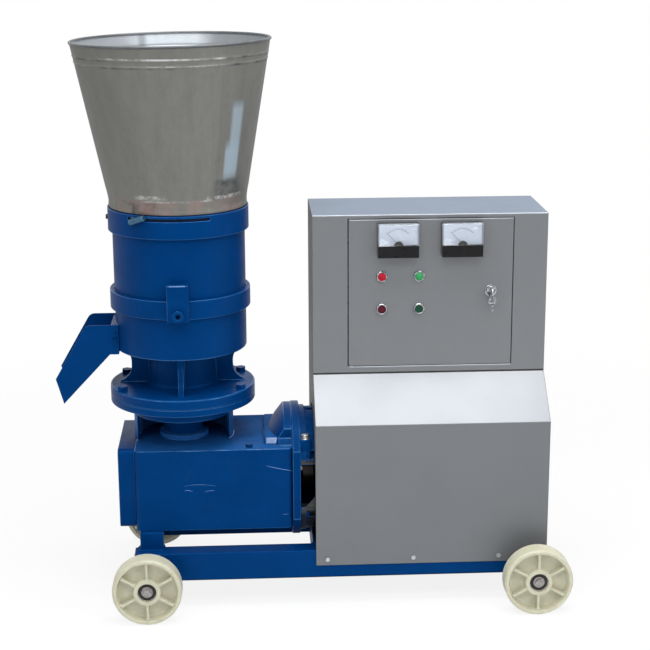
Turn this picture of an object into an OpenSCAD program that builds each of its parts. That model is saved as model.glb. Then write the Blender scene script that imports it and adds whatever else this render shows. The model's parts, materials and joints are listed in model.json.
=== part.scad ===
// Electric pellet mill with a flat die, on a wheeled base frame.
// Millimetres, +Z up. The origin is on the floor, under the middle of the
// machine's length and width. The operator stands on the -Y side.

/* [Layout] */
// Distance between the two wheel axles
wheel_base = 960; // [940:5:1060]
// Spindle axis from the left axle, as a share of the wheel base
spindle_share = 0.09375; // [0.09:0.00125:0.1]
// Reach of the discharge chute from the spindle axis
chute_reach = 311; // [300:1:330]
// Left face of the cabinet, measured from the spindle axis
cab_from_spindle = 326; // [322:1:336]
// Height of the motor shaft over the rails
shaft_height = 160; // [158:1:166]

/* [Wheels] */
// Diameter of a wheel
wheel_d = 170; // [160:1:172]
// Width of a wheel
wheel_w = 50; // [46:1:54]
// Distance between the middle planes of the left and right wheels of an axle
wheel_track = 507; // [495:1:540]
// Radius of the recess between rim and hub
wheel_recess_r = 72; // [68:1:75]
// Radius of the wheel hub
wheel_hub_r = 34; // [30:1:38]
// Ribs on each side of a wheel
wheel_ribs = 6; // [4:1:8]

/* [Base frame] */
// Height of a frame tube
rail_h = 73; // [70:1:80]
// Width of a frame tube
rail_w = 50; // [46:1:54]
// Wall of a frame tube
rail_t = 4; // [3:0.5:5]
// Width of the frame over both rails
frame_w = 351; // [348:1:352]
// Underside of the rails over the floor
rail_z = 70; // [66:1:71]

/* [Gearbox] */
// Length of the gearbox body
gb_l = 391; // [388:1:394]
// Width of the gearbox body
gb_w = 280; // [274:1:290]
// Height of the gearbox body
gb_h = 210; // [206:1:212]
// Underside of the gearbox over the floor
gb_z = 190; // [189:1:192]
// Left end of the gearbox body, measured from the spindle axis
gb_left = 120; // [118:1:124]
// Thickness of the end cover
gb_cover_t = 41; // [34:1:44]
// Radius of the input flange
gb_flange_r = 170; // [166:1:172]
// Outer radius of the lantern under the mill
lantern_r = 125; // [122:1:130]
// Half angle of the lantern's window
lantern_window = 66; // [60:1:68]

/* [Mill body] */
// Radius of the base flange
flange_r = 181; // [178:1:190]
// Outer radius of the barrel
barrel_r = 162.5; // [160:0.5:163.5]
// Wall of the barrel
barrel_t = 10; // [9:0.5:10.5]
// Thickness of the joint ring and of the hopper ring
ring_t = 10; // [9.5:0.5:12]
// Height of the joint ring
joint_ring_h = 46; // [40:1:50]
// Height of the hopper ring
hopper_ring_h = 57; // [52:1:60]
// Narrowest radius of the webs under the barrel
web_waist_r = 127; // [118:1:135]
// Thickness of a web
web_t = 14; // [10:1:16]
// Radius of the neck
neck_r = 84; // [82:1:88]

/* [Die and rollers] */
// Radius of the flat die
die_r = 148; // [144:1:149]
// Thickness of the flat die
die_t = 28; // [24:1:29]
// Radius of a die hole
die_hole_r = 4; // [3:0.5:5]
// Holes in each ring of the die
die_holes = 24; // [18:2:24]
// Radius of a pressing roller
roller_r = 52; // [50:1:54]
// Width of a pressing roller
roller_w = 58; // [50:1:60]
// Distance of a roller's middle from the spindle axis
roller_y = 91; // [88:1:94]
// Lift of the roller axle
roller_lift = 6; // [4:0.5:8]

/* [Hopper] */
// Radius of the hopper's mouth
hopper_r = 240; // [230:1:260]
// Height of the hopper's mouth over the floor
hopper_top = 1396; // [1350:1:1450]
// Height of the collar over the seat
collar_h = 61; // [58:1:75]
// Sheet of the hopper
hopper_t = 2; // [1.5:0.1:3]

/* [Chute] */
// Width of the chute
chute_w = 126; // [116:1:130]
// Sheet of the chute
chute_t = 3; // [2:0.5:4]

/* [Cabinet] */
// Length of the cabinet
cab_l = 580; // [574:1:586]
// Top of the cabinet over the floor
cab_top = 969; // [966:1:1000]
// Underside of the cabinet over the floor
cab_z = 103; // [98:1:106]
// Depth of the control box
box_d = 244; // [240:1:260]
// Lower edge of the slope over the floor
slope_z = 468; // [464:1:474]
// Height of the slope
slope_h = 100; // [96:1:102]
// Sheet of the cabinet
sheet_t = 2; // [1.5:0.1:2.5]

/* [Control panel] */
// Height of the door
door_h = 370; // [364:1:372]
// Right edge of the door, measured from the cabinet's right face
door_right = 85; // [83:1:90]
// Lower edge of the door over the box's underside
door_z = 20; // [16:1:24]
// Width of a panel meter
meter_w = 100; // [96:1:104]
// Height of a panel meter
meter_h = 83; // [80:1:86]
// How far a meter stands out of the door
meter_out = 28; // [24:1:32]
// Distance between the two meters
meter_pitch = 157; // [152:1:165]
// Radius of a lamp's bezel
bezel_r = 14; // [13.5:0.5:15]
// Distance between the lamps in a row
lamp_pitch = 92; // [84:1:96]
// Distance between the lamp row and the button row
lamp_drop = 82; // [76:1:86]
// Stroke of a push button
button_stroke = 4; // [3:0.5:5]

/* [Motor] */
// Radius over the cooling fins
motor_r = 155; // [150:1:156]
// Height of the cooling fins
fin_h = 22; // [18:1:24]
// Number of cooling fins
fins = 30; // [24:2:36]
// Length of the finned frame
motor_l = 260; // [240:1:270]

/* [Hidden] */
$fn = 72;

// One overrun for every cut
over = 1;
// Chamfer of edges, and the way of a shaft through a wall
cham = 1;
shaft_way = 2;
// Gap between pieces that move against each other
gap = 0.3;
// Radial clearance of a shaft in its bearing
run = 0.05;
// Clearance of a piece that is pressed or pushed in
fit = 0.05;
// Clearance of a bolt in its hole
bolt_gap = 0.4;
// Paint colours
blue = [0.0, 0.24, 0.49];
grey = [0.52, 0.52, 0.52];
zinc = [0.72, 0.72, 0.74];
black = [0.06, 0.06, 0.07];
cream = [0.88, 0.86, 0.74];
tin = [0.55, 0.55, 0.52];

// Heights that follow from each other
rail_top = rail_z + rail_h;
axis_z = rail_top + shaft_height;
gb_top = gb_z + gb_h;
// The lengthwise places, the bounding box is centred on the origin
spindle_from_axle = spindle_share * wheel_base;
spindle_x = (chute_reach - (wheel_base - spindle_from_axle) - wheel_d / 2) / 2;
axle_lx = spindle_x - spindle_from_axle;
axle_rx = axle_lx + wheel_base;
wheel_z = wheel_d / 2;
wheel_y = wheel_track / 2;
cab_x = spindle_x + cab_from_spindle;
cab_rx = cab_x + cab_l;

// Turns a profile's axis to X, with the profile's height along +X
module along_x(x = 0, y = 0, z = 0)
{
  translate([x, y, z]) rotate([0, 90, 0]) children();
}

// Turns a profile's axis to Y, with the profile's height along +Y
module along_y(x = 0, y = 0, z = 0)
{
  translate([x, y, z]) rotate([-90, 0, 0]) children();
}

// A bar along X whose outline is given in Y and Z
module bar_x(x0, x1, pts)
{
  translate([x0, 0, 0]) rotate([90, 0, 90]) linear_extrude(x1 - x0) polygon(pts);
}

// A bar along Y whose outline is given in X and Z
module bar_y(y0, y1, pts)
{
  translate([0, y1, 0]) rotate([90, 0, 0]) linear_extrude(y1 - y0) polygon(pts);
}

// A box from its two corners
module block(a, b)
{
  translate(a) cube(b - a);
}

// A tube or a disc between two heights
module pipe(r_out, r_in, z0, z1)
{
  translate([0, 0, z0]) difference()
  {
    cylinder(r = r_out, h = z1 - z0);
    if (r_in > 0) translate([0, 0, -over]) cylinder(r = r_in, h = z1 - z0 + 2 * over);
  }
}

// A revolved solid from a list of radius and height points
module turned(pts)
{
  rotate_extrude() polygon(pts);
}

// A hexagon bolt along +Z, its head's seat at 0 and its shank below
module hex_bolt(r, l, head_r, head_h)
{
  translate([0, 0, -l]) cylinder(r = r, h = l + head_h / 2);
  cylinder(r = head_r, h = head_h, $fn = 6);
}

// Copies at equal angles about Z
module around(n, start = 0)
{
  for (i = [0 : n - 1]) rotate([0, 0, start + i * 360 / n]) children();
}

// Corner points of a rectangle with round corners
corner_steps = 5;
function corner(cx, cy, r, a0) = [for (i = [0 : corner_steps])
  let (a = a0 + i * 90 / corner_steps) [cx + r * cos(a), cy + r * sin(a)]];
function round_rect(x0, y0, x1, y1, r) = concat(
  corner(x1 - r, y1 - r, r, 0), corner(x0 + r, y1 - r, r, 90),
  corner(x0 + r, y0 + r, r, 180), corner(x1 - r, y0 + r, r, 270));

// Points of a circle's arc, used in outlines
function arc(cx, cy, r, a0, a1, n) = [for (i = [0 : n])
  let (a = a0 + i * (a1 - a0) / n) [cx + r * cos(a), cy + r * sin(a)]];

// Wheels and axles
axle_r = 10;
wheel_bearing_r = 23.5;
wheel_bearing_w = 14;
wheel_bearing_in = 8;
wheel_edge = 4;
wheel_web_t = 8;
wheel_rib_t = 5;
wheel_rib_in = 3;
seal_dent = 1;
race_share = 0.28;
spacer_r = 15;
end_washer_r = 14;
end_washer_t = 3;
end_bolt_r = 10;
end_bolt_h = 7;
wheel_face_y = wheel_y + wheel_w / 2;
axle_end_y = wheel_face_y - wheel_bearing_in;

// Rubber-sealed ball bearing along Z, from 0 to w
module bearing(r_in, r_out, w)
{
  d1 = r_in + (r_out - r_in) * race_share;
  d2 = r_out - (r_out - r_in) * race_share;
  turned([[r_in, 0], [d1, 0], [d1, seal_dent], [d2, seal_dent], [d2, 0],
    [r_out, 0], [r_out, w], [d2, w], [d2, w - seal_dent],
    [d1, w - seal_dent], [d1, w], [r_in, w]]);
}

// One wheel along Z, its middle plane at 0
module wheel_shape()
{
  h = wheel_w / 2;
  seat = h - wheel_bearing_in - wheel_bearing_w - fit;
  difference()
  {
    union()
    {
      turned([[wheel_hub_r, -wheel_web_t / 2], [wheel_hub_r, -h],
        [wheel_bearing_r + fit, -h], [wheel_bearing_r + fit, -seat],
        [wheel_bearing_r - wheel_edge, -seat], [wheel_bearing_r - wheel_edge, seat],
        [wheel_bearing_r + fit, seat], [wheel_bearing_r + fit, h], [wheel_hub_r, h],
        [wheel_hub_r, wheel_web_t / 2], [wheel_recess_r, wheel_web_t / 2],
        [wheel_recess_r + wheel_edge / 2, h], [wheel_d / 2 - wheel_edge, h],
        [wheel_d / 2, h - wheel_edge], [wheel_d / 2, -h + wheel_edge],
        [wheel_d / 2 - wheel_edge, -h], [wheel_recess_r + wheel_edge / 2, -h],
        [wheel_recess_r, -wheel_web_t / 2]]);
      around(wheel_ribs, 90)
        block([wheel_hub_r - wheel_edge, -wheel_rib_t / 2, -h + wheel_rib_in],
          [wheel_recess_r + wheel_edge, wheel_rib_t / 2, h - wheel_rib_in]);
    }
  }
  for (m = [0, 1]) mirror([0, 0, m]) translate([0, 0, seat + fit])
    bearing(axle_r + run, wheel_bearing_r, wheel_bearing_w);
}

module wheel_at(x, y)
{
  color(cream) along_y(x, y, wheel_z) wheel_shape();
}
module wheel_front_left() { wheel_at(axle_lx, -wheel_y); }
module wheel_front_right() { wheel_at(axle_rx, -wheel_y); }
module wheel_rear_left() { wheel_at(axle_lx, wheel_y); }
module wheel_rear_right() { wheel_at(axle_rx, wheel_y); }

// A round axle goes through both rails and carries a wheel at each end
module wheel_axles()
{
  in_y = wheel_y - wheel_w / 2 + wheel_bearing_in - gap;
  color(zinc) for (x = [axle_lx, axle_rx])
  {
    along_y(x, -axle_end_y, wheel_z) cylinder(r = axle_r, h = 2 * axle_end_y);
    for (s = [0, 1]) mirror([0, s, 0])
      along_y(x, frame_w / 2, wheel_z) cylinder(r = spacer_r, h = in_y - frame_w / 2);
  }
}

// Washer and bolt that hold each wheel on its axle
module axle_bolts()
{
  color(zinc) for (x = [axle_lx, axle_rx]) for (s = [0, 1]) mirror([0, s, 0])
    along_y(x, axle_end_y, wheel_z)
    {
      cylinder(r = end_washer_r, h = end_washer_t);
      translate([0, 0, end_washer_t]) cylinder(r = end_bolt_r, h = end_bolt_h, $fn = 6);
    }
}

// Base frame
rail_over_l = 35;
rail_lx = axle_lx - rail_over_l;
rail_over_r = 30;
rail_rx = axle_rx + rail_over_r;
cross_mid_share = 0.46;
cap_t = 3;
axle_hole_gap = 0.1;
pedestal_l = 58;
pedestal_in = 14;
pedestal_t = 12;
pedestal_x = rail_lx + pedestal_in;
screw_r = 3;
screw_head_r = 5.5;
screw_head_h = 3;
screw_up = 16;
screw_z = cab_z + screw_up;
screw_x_shares = [0.05, 0.42, 0.79];
screw_xs = [for (s = screw_x_shares) cab_x + s * cab_l];
rail_y = frame_w / 2 - rail_w / 2;
foot_in = 5.5;
motor_foot_a = 2 * (rail_y - foot_in);
motor_foot_r = 6;
motor_foot_l = 210;
motor_bolt_head_r = 9.5;
motor_bolt_head_h = 7;
motor_from_spindle = 440;
motor_x = spindle_x + motor_from_spindle;
motor_foot_x = motor_x + (motor_l - motor_foot_l) / 2;

module rail_tube(y)
{
  difference()
  {
    block([rail_lx, y - rail_w / 2, rail_z], [rail_rx, y + rail_w / 2, rail_top]);
    block([rail_lx + cap_t, y - rail_w / 2 + rail_t, rail_z + rail_t],
      [rail_rx - cap_t, y + rail_w / 2 - rail_t, rail_top - rail_t]);
  }
}

module cross_tube(x)
{
  w = frame_w / 2 - rail_w;
  difference()
  {
    block([x - rail_w / 2, -w, rail_z], [x + rail_w / 2, w, rail_top]);
    block([x - rail_w / 2 + rail_t, -w - over, rail_z + rail_t],
      [x + rail_w / 2 - rail_t, w + over, rail_top - rail_t]);
  }
}

// Bridge that carries the gearbox's left end
module pedestal()
{
  w = frame_w / 2 - rail_w / 2;
  z1 = gb_z;
  foot = pedestal_t * 2;
  bar_x(pedestal_x, pedestal_x + pedestal_l,
    [[-w, rail_top], [-w, z1], [w, z1], [w, rail_top],
    [w - foot, rail_top], [w - foot, z1 - pedestal_t],
    [-w + foot, z1 - pedestal_t], [-w + foot, rail_top]]);
}

module base_frame()
{
  color(blue) difference()
  {
    union()
    {
      for (y = [-rail_y, rail_y]) rail_tube(y);
      cross_tube(axle_lx);
      cross_tube(rail_lx + cross_mid_share * (rail_rx - rail_lx));
      cross_tube(axle_rx);
      pedestal();
    }
    for (x = [axle_lx, axle_rx]) along_y(x, -frame_w, wheel_z)
      cylinder(r = axle_r + axle_hole_gap, h = 2 * frame_w);
    for (x = screw_xs) for (s = [0, 1]) mirror([0, s, 0])
      along_y(x, frame_w / 2 - rail_t - over, screw_z) cylinder(r = screw_r + fit, h = rail_t + 2 * over);
    for (x = [motor_foot_x + rail_w / 2, motor_foot_x + motor_foot_l - rail_w / 2])
      for (y = [-motor_foot_a / 2, motor_foot_a / 2])
        translate([x, y, rail_top - rail_t - over])
          cylinder(r = motor_foot_r + bolt_gap, h = rail_t + 2 * over);
  }
}

// Gearbox
gb_lx = spindle_x - gb_left;
gb_rx = gb_lx + gb_l;
gb_corner = 14;
gb_wall = 22;
gb_flange_t = 20;
bell_in = 68;
bell_mid_in = 40;
bell_full_in = 20;
bell_r1 = 143;
bell_step = 2;
bell_r2 = gb_flange_r - bell_step;
bell_half_w = 119;
bell_cham_w = 19;
bell_cham_h = 13;
lantern_wall = 16;
lantern_flange_t = 18;
flange_t = 25;
lantern_h = 116;
flange_z = gb_top + lantern_h;
neck_h = 94;
barrel_z = flange_z + flange_t + neck_h;
window_h = 66;
boss_r = 62;
boss_h = 14;
shaft_r = 40;
sp_bearing_r = 70;
sp_bearing_w = 26;
low_bearing_up = 18;
low_bearing_z = gb_z + low_bearing_up;
top_bearing_drop = 35;
top_bearing_z = gb_top - top_bearing_drop;
in_r = 22.5;
in_bearing_r = 50;
in_bearing_w = 25;
crown_rim_over = 5;
crown_clear = 14;
crown_r = gb_w / 2 - gb_wall - crown_rim_over - crown_clear;
room_clear = 31;
room_reach = crown_r + room_clear;
room_rx = spindle_x + room_reach;
in_bearing_gap = 30;
in_bearing_x1 = room_rx + in_bearing_gap;
in_bearing_back = 38;
in_bearing_x2 = gb_rx - in_bearing_back;
room_drop = 44;
room_top = gb_top - room_drop;
room_up = 46;
room_z = gb_z + room_up;
seal_r = 44;
cover_in_y = 13;
cover_z = 6;
mill_bolt_r = 8;
mill_bolt_head_r = 13.5;
mill_bolt_head_h = 10;
mill_bolt_az = 28;
mill_bolt_in = 16;
mill_bolt_pcr = flange_r - mill_bolt_in;
drive_bolt_r = 6;
drive_bolt_head_r = 10.5;
drive_bolt_head_h = 8;
drive_bolt_in = 20;
drive_bolt_pcr = gb_flange_r - drive_bolt_in;
drive_bolts = 6;
flange_flat = 5;
plug_r = 7;
plug_h = 8;
plug_head_r = 9;
plug_from = 164;
plug_x = spindle_x + plug_from;
plug_in = 20;
plug_y = -gb_w / 2 + plug_in;
cover_bolt_r = 5;
cover_bolt_head_r = 8.5;
cover_bolt_head_h = 6;
cover_bolt_in = 16;

// Four places at the mill flange's bolts
module mill_bolt_places()
{
  for (a = [mill_bolt_az, 180 - mill_bolt_az, 180 + mill_bolt_az, -mill_bolt_az])
    rotate([0, 0, a]) translate([mill_bolt_pcr, 0, 0]) children();
}

// A turned piece of the drive line along X, flat on its front and its back
module flat_sided(x, r, h)
{
  y1 = gb_w / 2 + flange_flat;
  intersection()
  {
    along_x(x, 0, axis_z) children();
    block([x - over, -y1, axis_z - r - over], [x + h + over, y1, axis_z + r + over]);
  }
}

module gearbox_housing()
{
  y1 = gb_w / 2;
  lantern_top = flange_z - lantern_flange_t;
  color(blue) difference()
  {
    union()
    {
      translate([0, 0, gb_z]) linear_extrude(gb_h)
        polygon(round_rect(gb_lx, -y1, gb_rx, y1, gb_corner));
      intersection()
      {
        along_x(gb_rx - bell_in, 0, axis_z)
          turned([[0, 0], [gb_top - axis_z, 0], [bell_r1, bell_in - bell_mid_in],
            [bell_r2, bell_in - bell_full_in], [bell_r2, bell_in + over], [0, bell_in + over]]);
        bar_x(gb_rx - bell_in - over, gb_rx + over,
          [[-bell_half_w, axis_z], [-bell_half_w, gb_top + over],
          [-bell_half_w + bell_cham_w, gb_top + over + bell_cham_h],
          [-bell_half_w + bell_cham_w, axis_z + gb_flange_r],
          [bell_half_w - bell_cham_w, axis_z + gb_flange_r],
          [bell_half_w - bell_cham_w, gb_top + over + bell_cham_h],
          [bell_half_w, gb_top + over], [bell_half_w, axis_z]]);
      }
      flat_sided(gb_rx, gb_flange_r, gb_flange_t) cylinder(r = gb_flange_r, h = gb_flange_t);
      translate([spindle_x, 0, 0])
      {
        difference()
        {
          pipe(lantern_r, lantern_r - lantern_wall, gb_top, lantern_top + over);
          block([-lantern_r * sin(lantern_window), -lantern_r - over, gb_top - over],
            [lantern_r * sin(lantern_window), 0, gb_top + window_h]);
        }
        translate([0, 0, gb_top - over]) cylinder(r = boss_r, h = boss_h + over);
        pipe(flange_r, lantern_r - lantern_wall, lantern_top, flange_z);
      }
    }
    // Room for the bevel gears, open at the left end
    block([gb_lx - over, -y1 + gb_wall, room_z], [room_rx, y1 - gb_wall, room_top]);
    // Spindle bores
    translate([spindle_x, 0, 0])
    {
      translate([0, 0, low_bearing_z]) cylinder(r = sp_bearing_r + fit, h = room_z - low_bearing_z + over);
      translate([0, 0, room_top - over])
        cylinder(r = sp_bearing_r + fit, h = top_bearing_z + sp_bearing_w - room_top + over);
      translate([0, 0, room_top]) cylinder(r = seal_r, h = lantern_top);
      translate([0, 0, lantern_top - over]) mill_bolt_places()
        cylinder(r = mill_bolt_r + bolt_gap, h = lantern_flange_t + 2 * over);
    }
    // Input bores
    along_x(room_rx - over, 0, axis_z)
      cylinder(r = in_bearing_r + fit, h = in_bearing_x2 + in_bearing_w - room_rx + over);
    along_x(room_rx, 0, axis_z) cylinder(r = in_r + shaft_way, h = gb_l);
    along_x(gb_rx - over, 0, axis_z) around(drive_bolts) translate([drive_bolt_pcr, 0, 0])
      cylinder(r = drive_bolt_r + bolt_gap, h = gb_flange_t + 2 * over);
    // Threaded hole for the filler plug
    translate([plug_x, plug_y, gb_top - plug_h]) cylinder(r = plug_r + fit, h = plug_h + over);
  }
}

module gearbox_end_cover()
{
  y1 = gb_w / 2 - cover_in_y;
  x0 = gb_lx - gb_cover_t;
  color(blue) difference()
  {
    rotate([90, 0, 90]) translate([0, 0, x0]) linear_extrude(gb_cover_t)
      polygon(round_rect(-y1, gb_z + cover_z, y1, gb_top, gb_corner));
    for (y = [-y1 + cover_bolt_in, 0, y1 - cover_bolt_in])
      for (z = [gb_z + cover_z + cover_bolt_in, gb_top - cover_bolt_in])
        along_x(x0 - over, y, z)
        {
          cylinder(r = cover_bolt_r + bolt_gap, h = gb_cover_t + 2 * over);
          cylinder(r = cover_bolt_head_r + cham, h = cover_bolt_head_h + over);
        }
    block([gb_lx - gb_cover_t / 2, -y1 + 2 * cover_bolt_in, room_z],
      [gb_lx + over, y1 - 2 * cover_bolt_in, room_top]);
  }
}

module gearbox_bolts()
{
  y1 = gb_w / 2 - cover_in_y;
  x0 = gb_lx - gb_cover_t;
  color(zinc)
  {
    for (y = [-y1 + cover_bolt_in, 0, y1 - cover_bolt_in])
      for (z = [gb_z + cover_z + cover_bolt_in, gb_top - cover_bolt_in])
        along_x(x0 + cover_bolt_head_h, y, z) mirror([0, 0, 1])
          hex_bolt(cover_bolt_r, gb_cover_t - cover_bolt_head_h - fit, cover_bolt_head_r, cover_bolt_head_h);
    along_x(gb_rx + gb_flange_t + bell_flange_t - cham, 0, axis_z) around(drive_bolts)
      translate([drive_bolt_pcr, 0, 0])
        hex_bolt(drive_bolt_r, gb_flange_t + bell_flange_t - 2 * cham, drive_bolt_head_r, drive_bolt_head_h);
    for (x = [motor_foot_x + rail_w / 2, motor_foot_x + motor_foot_l - rail_w / 2])
      for (y = [-motor_foot_a / 2, motor_foot_a / 2]) translate([x, y, rail_top + foot_t])
        hex_bolt(motor_foot_r, foot_t + rail_t - fit, motor_bolt_head_r, motor_bolt_head_h);
    translate([plug_x, plug_y, gb_top])
      hex_bolt(plug_r, plug_h - fit, plug_head_r, plug_h);
  }
}

// Bell housing between the gearbox and the motor
bell_flange_t = 14;
bell_flange_r = 160;
bell_r = 156;
bell_in_r = 128;
hand_up = 55;
hand_drop = 57;
bell_lx = gb_rx + gb_flange_t;
shield_l = 40;
bell_rx = motor_x - shield_l;
bell_end_t = 12;
bell_bore_r = 60;

module coupling_housing()
{
  color(black) difference()
  {
    flat_sided(bell_lx, bell_flange_r, bell_rx - bell_lx) union()
    {
      cylinder(r = bell_flange_r, h = bell_flange_t);
      cylinder(r = bell_r, h = bell_rx - bell_lx);
    }
    along_x(bell_lx, 0, axis_z)
    {
      translate([0, 0, -over]) cylinder(r = bell_in_r, h = bell_rx - bell_lx - bell_end_t + over);
      cylinder(r = bell_bore_r, h = bell_rx - bell_lx + over);
      around(drive_bolts) translate([drive_bolt_pcr, 0, 0])
      {
        translate([0, 0, -over]) cylinder(r = drive_bolt_r + bolt_gap, h = bell_flange_t + 2 * over);
        translate([0, 0, bell_flange_t - cham])
          cylinder(r = drive_bolt_head_r + cham, h = 3 * drive_bolt_head_h);
      }
    }
    // Hand holes for turning the coupling, in the front and in the top
    block([bell_lx - over, -gb_w, axis_z - hand_drop],
      [bell_rx - bell_end_t * 2, -bell_bore_r, axis_z + hand_up]);
    block([bell_lx + bell_flange_t * 3, -bell_bore_r / 2, axis_z],
      [bell_rx - bell_end_t * 2, bell_bore_r / 2, axis_z + bell_r + over]);
  }
}

// Ball bearings of the spindle, the input shaft and the motor
neck_bearing_drop = 36;
neck_bearing_z = barrel_z - neck_bearing_drop;
motor_bearing_r = 45;
motor_bearing_w = 22;
motor_shaft_r = 21;
motor_de_back = 30;
motor_de_x = motor_x - motor_de_back;
motor_nde_out = 6;
motor_nde_x = motor_x + motor_l + motor_nde_out;

module ball_bearings()
{
  color(zinc)
  {
    for (z = [low_bearing_z, top_bearing_z, neck_bearing_z])
      translate([spindle_x, 0, z]) bearing(shaft_r + run, sp_bearing_r, sp_bearing_w);
    for (x = [in_bearing_x1, in_bearing_x2])
      along_x(x, 0, axis_z) bearing(in_r + run, in_bearing_r, in_bearing_w);
    for (x = [motor_de_x, motor_nde_x])
      along_x(x, 0, axis_z) bearing(motor_shaft_r + run, motor_bearing_r, motor_bearing_w);
  }
}

// Motor, closed in by the cabinet
nde_l = 34;
fan_l = 120;
fan_cover_r = 148;
fan_cover_t = 3;
shield_r = fan_cover_r - fan_cover_t - fit;
fan_slots = 12;
fan_slot_w = 14;
fan_hub_r = 28;
fan_r = 120;
fan_w = 46;
fan_blades = 8;
blade_t = 4;
stator_wall = 44;
air_gap = 1;
core_r = motor_r - fin_h;
frame_wall = 10;
stator_l = 190;
fin_t = 4;
foot_t = 14;
foot_w = 62;
term_l = 130;
term_w = 110;
term_h = 62;

module motor_frame()
{
  color(blue) difference()
  {
    union()
    {
      along_x(motor_x, 0, axis_z) linear_extrude(motor_l) union()
      {
        circle(r = core_r);
        for (i = [0 : fins - 1]) rotate([0, 0, i * 360 / fins + 180 / fins])
          translate([core_r - fin_t, -fin_t / 2]) square([fin_h + fin_t, fin_t]);
      }
      bar_x(motor_foot_x, motor_foot_x + motor_foot_l,
        [[-motor_foot_a / 2 - foot_w / 3, rail_top], [-motor_foot_a / 2 - foot_w / 3, rail_top + foot_t],
        [-core_r / 2, axis_z - core_r / 2], [core_r / 2, axis_z - core_r / 2],
        [motor_foot_a / 2 + foot_w / 3, rail_top + foot_t], [motor_foot_a / 2 + foot_w / 3, rail_top],
        [motor_foot_a / 2 - foot_w / 2, rail_top], [core_r / 2, rail_top + foot_t * 2],
        [-core_r / 2, rail_top + foot_t * 2], [-motor_foot_a / 2 + foot_w / 2, rail_top]]);
      block([motor_x + (motor_l - term_l) / 2, -term_w / 2, axis_z],
        [motor_x + (motor_l + term_l) / 2, term_w / 2, axis_z + motor_r]);
    }
    along_x(motor_x - over, 0, axis_z) cylinder(r = core_r - frame_wall, h = motor_l + 2 * over);
    for (x = [motor_foot_x + rail_w / 2, motor_foot_x + motor_foot_l - rail_w / 2])
      for (y = [-motor_foot_a / 2, motor_foot_a / 2])
        translate([x, y, rail_top - over])
        {
          cylinder(r = motor_foot_r + bolt_gap, h = foot_t * 2);
          translate([0, 0, foot_t + over]) cylinder(r = motor_bolt_head_r + cham, h = foot_w);
        }
  }
}

// Half section of an end shield, its seat on the frame at 0
function shield_pts(r_in, l, b0, b1, r_end) = [
  [r_in - fit, -frame_wall], [r_in - fit, 0], [shield_r, 0], [shield_r, frame_wall],
  [r_end, l], [motor_shaft_r + cham, l], [motor_shaft_r + cham, b1 + fit],
  [motor_bearing_r + fit, b1 + fit], [motor_bearing_r + fit, b0 - over],
  [r_in - frame_wall, b0 - over], [r_in - frame_wall, -frame_wall]];

module motor_end_shields()
{
  r_in = core_r - frame_wall;
  color(blue)
  {
    along_x(motor_x, 0, axis_z) mirror([0, 0, 1])
      turned(shield_pts(r_in, shield_l, motor_x - motor_de_x - motor_bearing_w,
        motor_x - motor_de_x, shield_r - frame_wall * 2));
    along_x(motor_x + motor_l, 0, axis_z)
      turned(shield_pts(r_in, nde_l, motor_nde_x - motor_x - motor_l,
        motor_nde_x - motor_x - motor_l + motor_bearing_w, motor_bearing_r + frame_wall));
  }
}

module motor_stator()
{
  color([0.45, 0.3, 0.2]) along_x(motor_x + (motor_l - stator_l) / 2, 0, axis_z)
    pipe(core_r - frame_wall - fit, core_r - stator_wall - frame_wall, 0, stator_l);
}

module rotor()
{
  color(zinc)
  {
    along_x(hub2_x0, 0, axis_z)
      cylinder(r = motor_shaft_r, h = motor_x + motor_l + nde_l + fan_w + gap - hub2_x0);
    along_x(motor_x + (motor_l - stator_l) / 2, 0, axis_z)
      cylinder(r = core_r - stator_wall - frame_wall - air_gap, h = stator_l);
  }
}

module cooling_fan()
{
  color(black) along_x(motor_x + motor_l + nde_l + frame_wall, 0, axis_z) difference()
  {
    union()
    {
      cylinder(r = fan_hub_r, h = fan_w);
      cylinder(r = fan_r, h = blade_t);
      around(fan_blades) translate([fan_hub_r - over, -blade_t / 2, 0])
        cube([fan_r - fan_hub_r, blade_t, fan_w]);
    }
    translate([0, 0, -over]) cylinder(r = motor_shaft_r + fit, h = fan_w + 2 * over);
  }
}

module fan_cover()
{
  color(blue) along_x(motor_x + motor_l + gap, 0, axis_z) difference()
  {
    pipe(fan_cover_r, 0, 0, fan_l);
    translate([0, 0, -over]) cylinder(r = fan_cover_r - fan_cover_t, h = fan_l - fan_cover_t + over);
    translate([0, 0, fan_l - 2 * fan_cover_t]) around(fan_slots)
      translate([fan_hub_r, -fan_slot_w / 2, 0]) cube([fan_r - fan_hub_r, fan_slot_w, 3 * fan_cover_t]);
  }
}

module terminal_box()
{
  x0 = motor_x + (motor_l - term_l) / 2;
  z0 = axis_z + motor_r;
  color(black) difference()
  {
    block([x0, -term_w / 2, z0], [x0 + term_l, term_w / 2, z0 + term_h]);
    block([x0 + fan_cover_t, -term_w / 2 + fan_cover_t, z0 + fan_cover_t],
      [x0 + term_l - fan_cover_t, term_w / 2 - fan_cover_t, z0 + term_h - fan_cover_t]);
  }
}

// Jaw coupling on the two shaft ends
coup_r = 50;
hub_l = 34;
hub_in = 8;
jaw_l = 14;
jaw_half = 22;
arm_half = 6;
jaw_r_in_share = 0.5;
jaw_step = 1.5;
hub1_x0 = bell_lx + hub_in;
hub2_x0 = hub1_x0 + hub_l + jaw_l + 2 * gap;

// A sector plate between two radii
module sector(r0, r1, a0, a1, h)
{
  linear_extrude(h) polygon(concat(arc(0, 0, r1, a0, a1, corner_steps),
    arc(0, 0, r0, a1, a0, corner_steps)));
}

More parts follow.
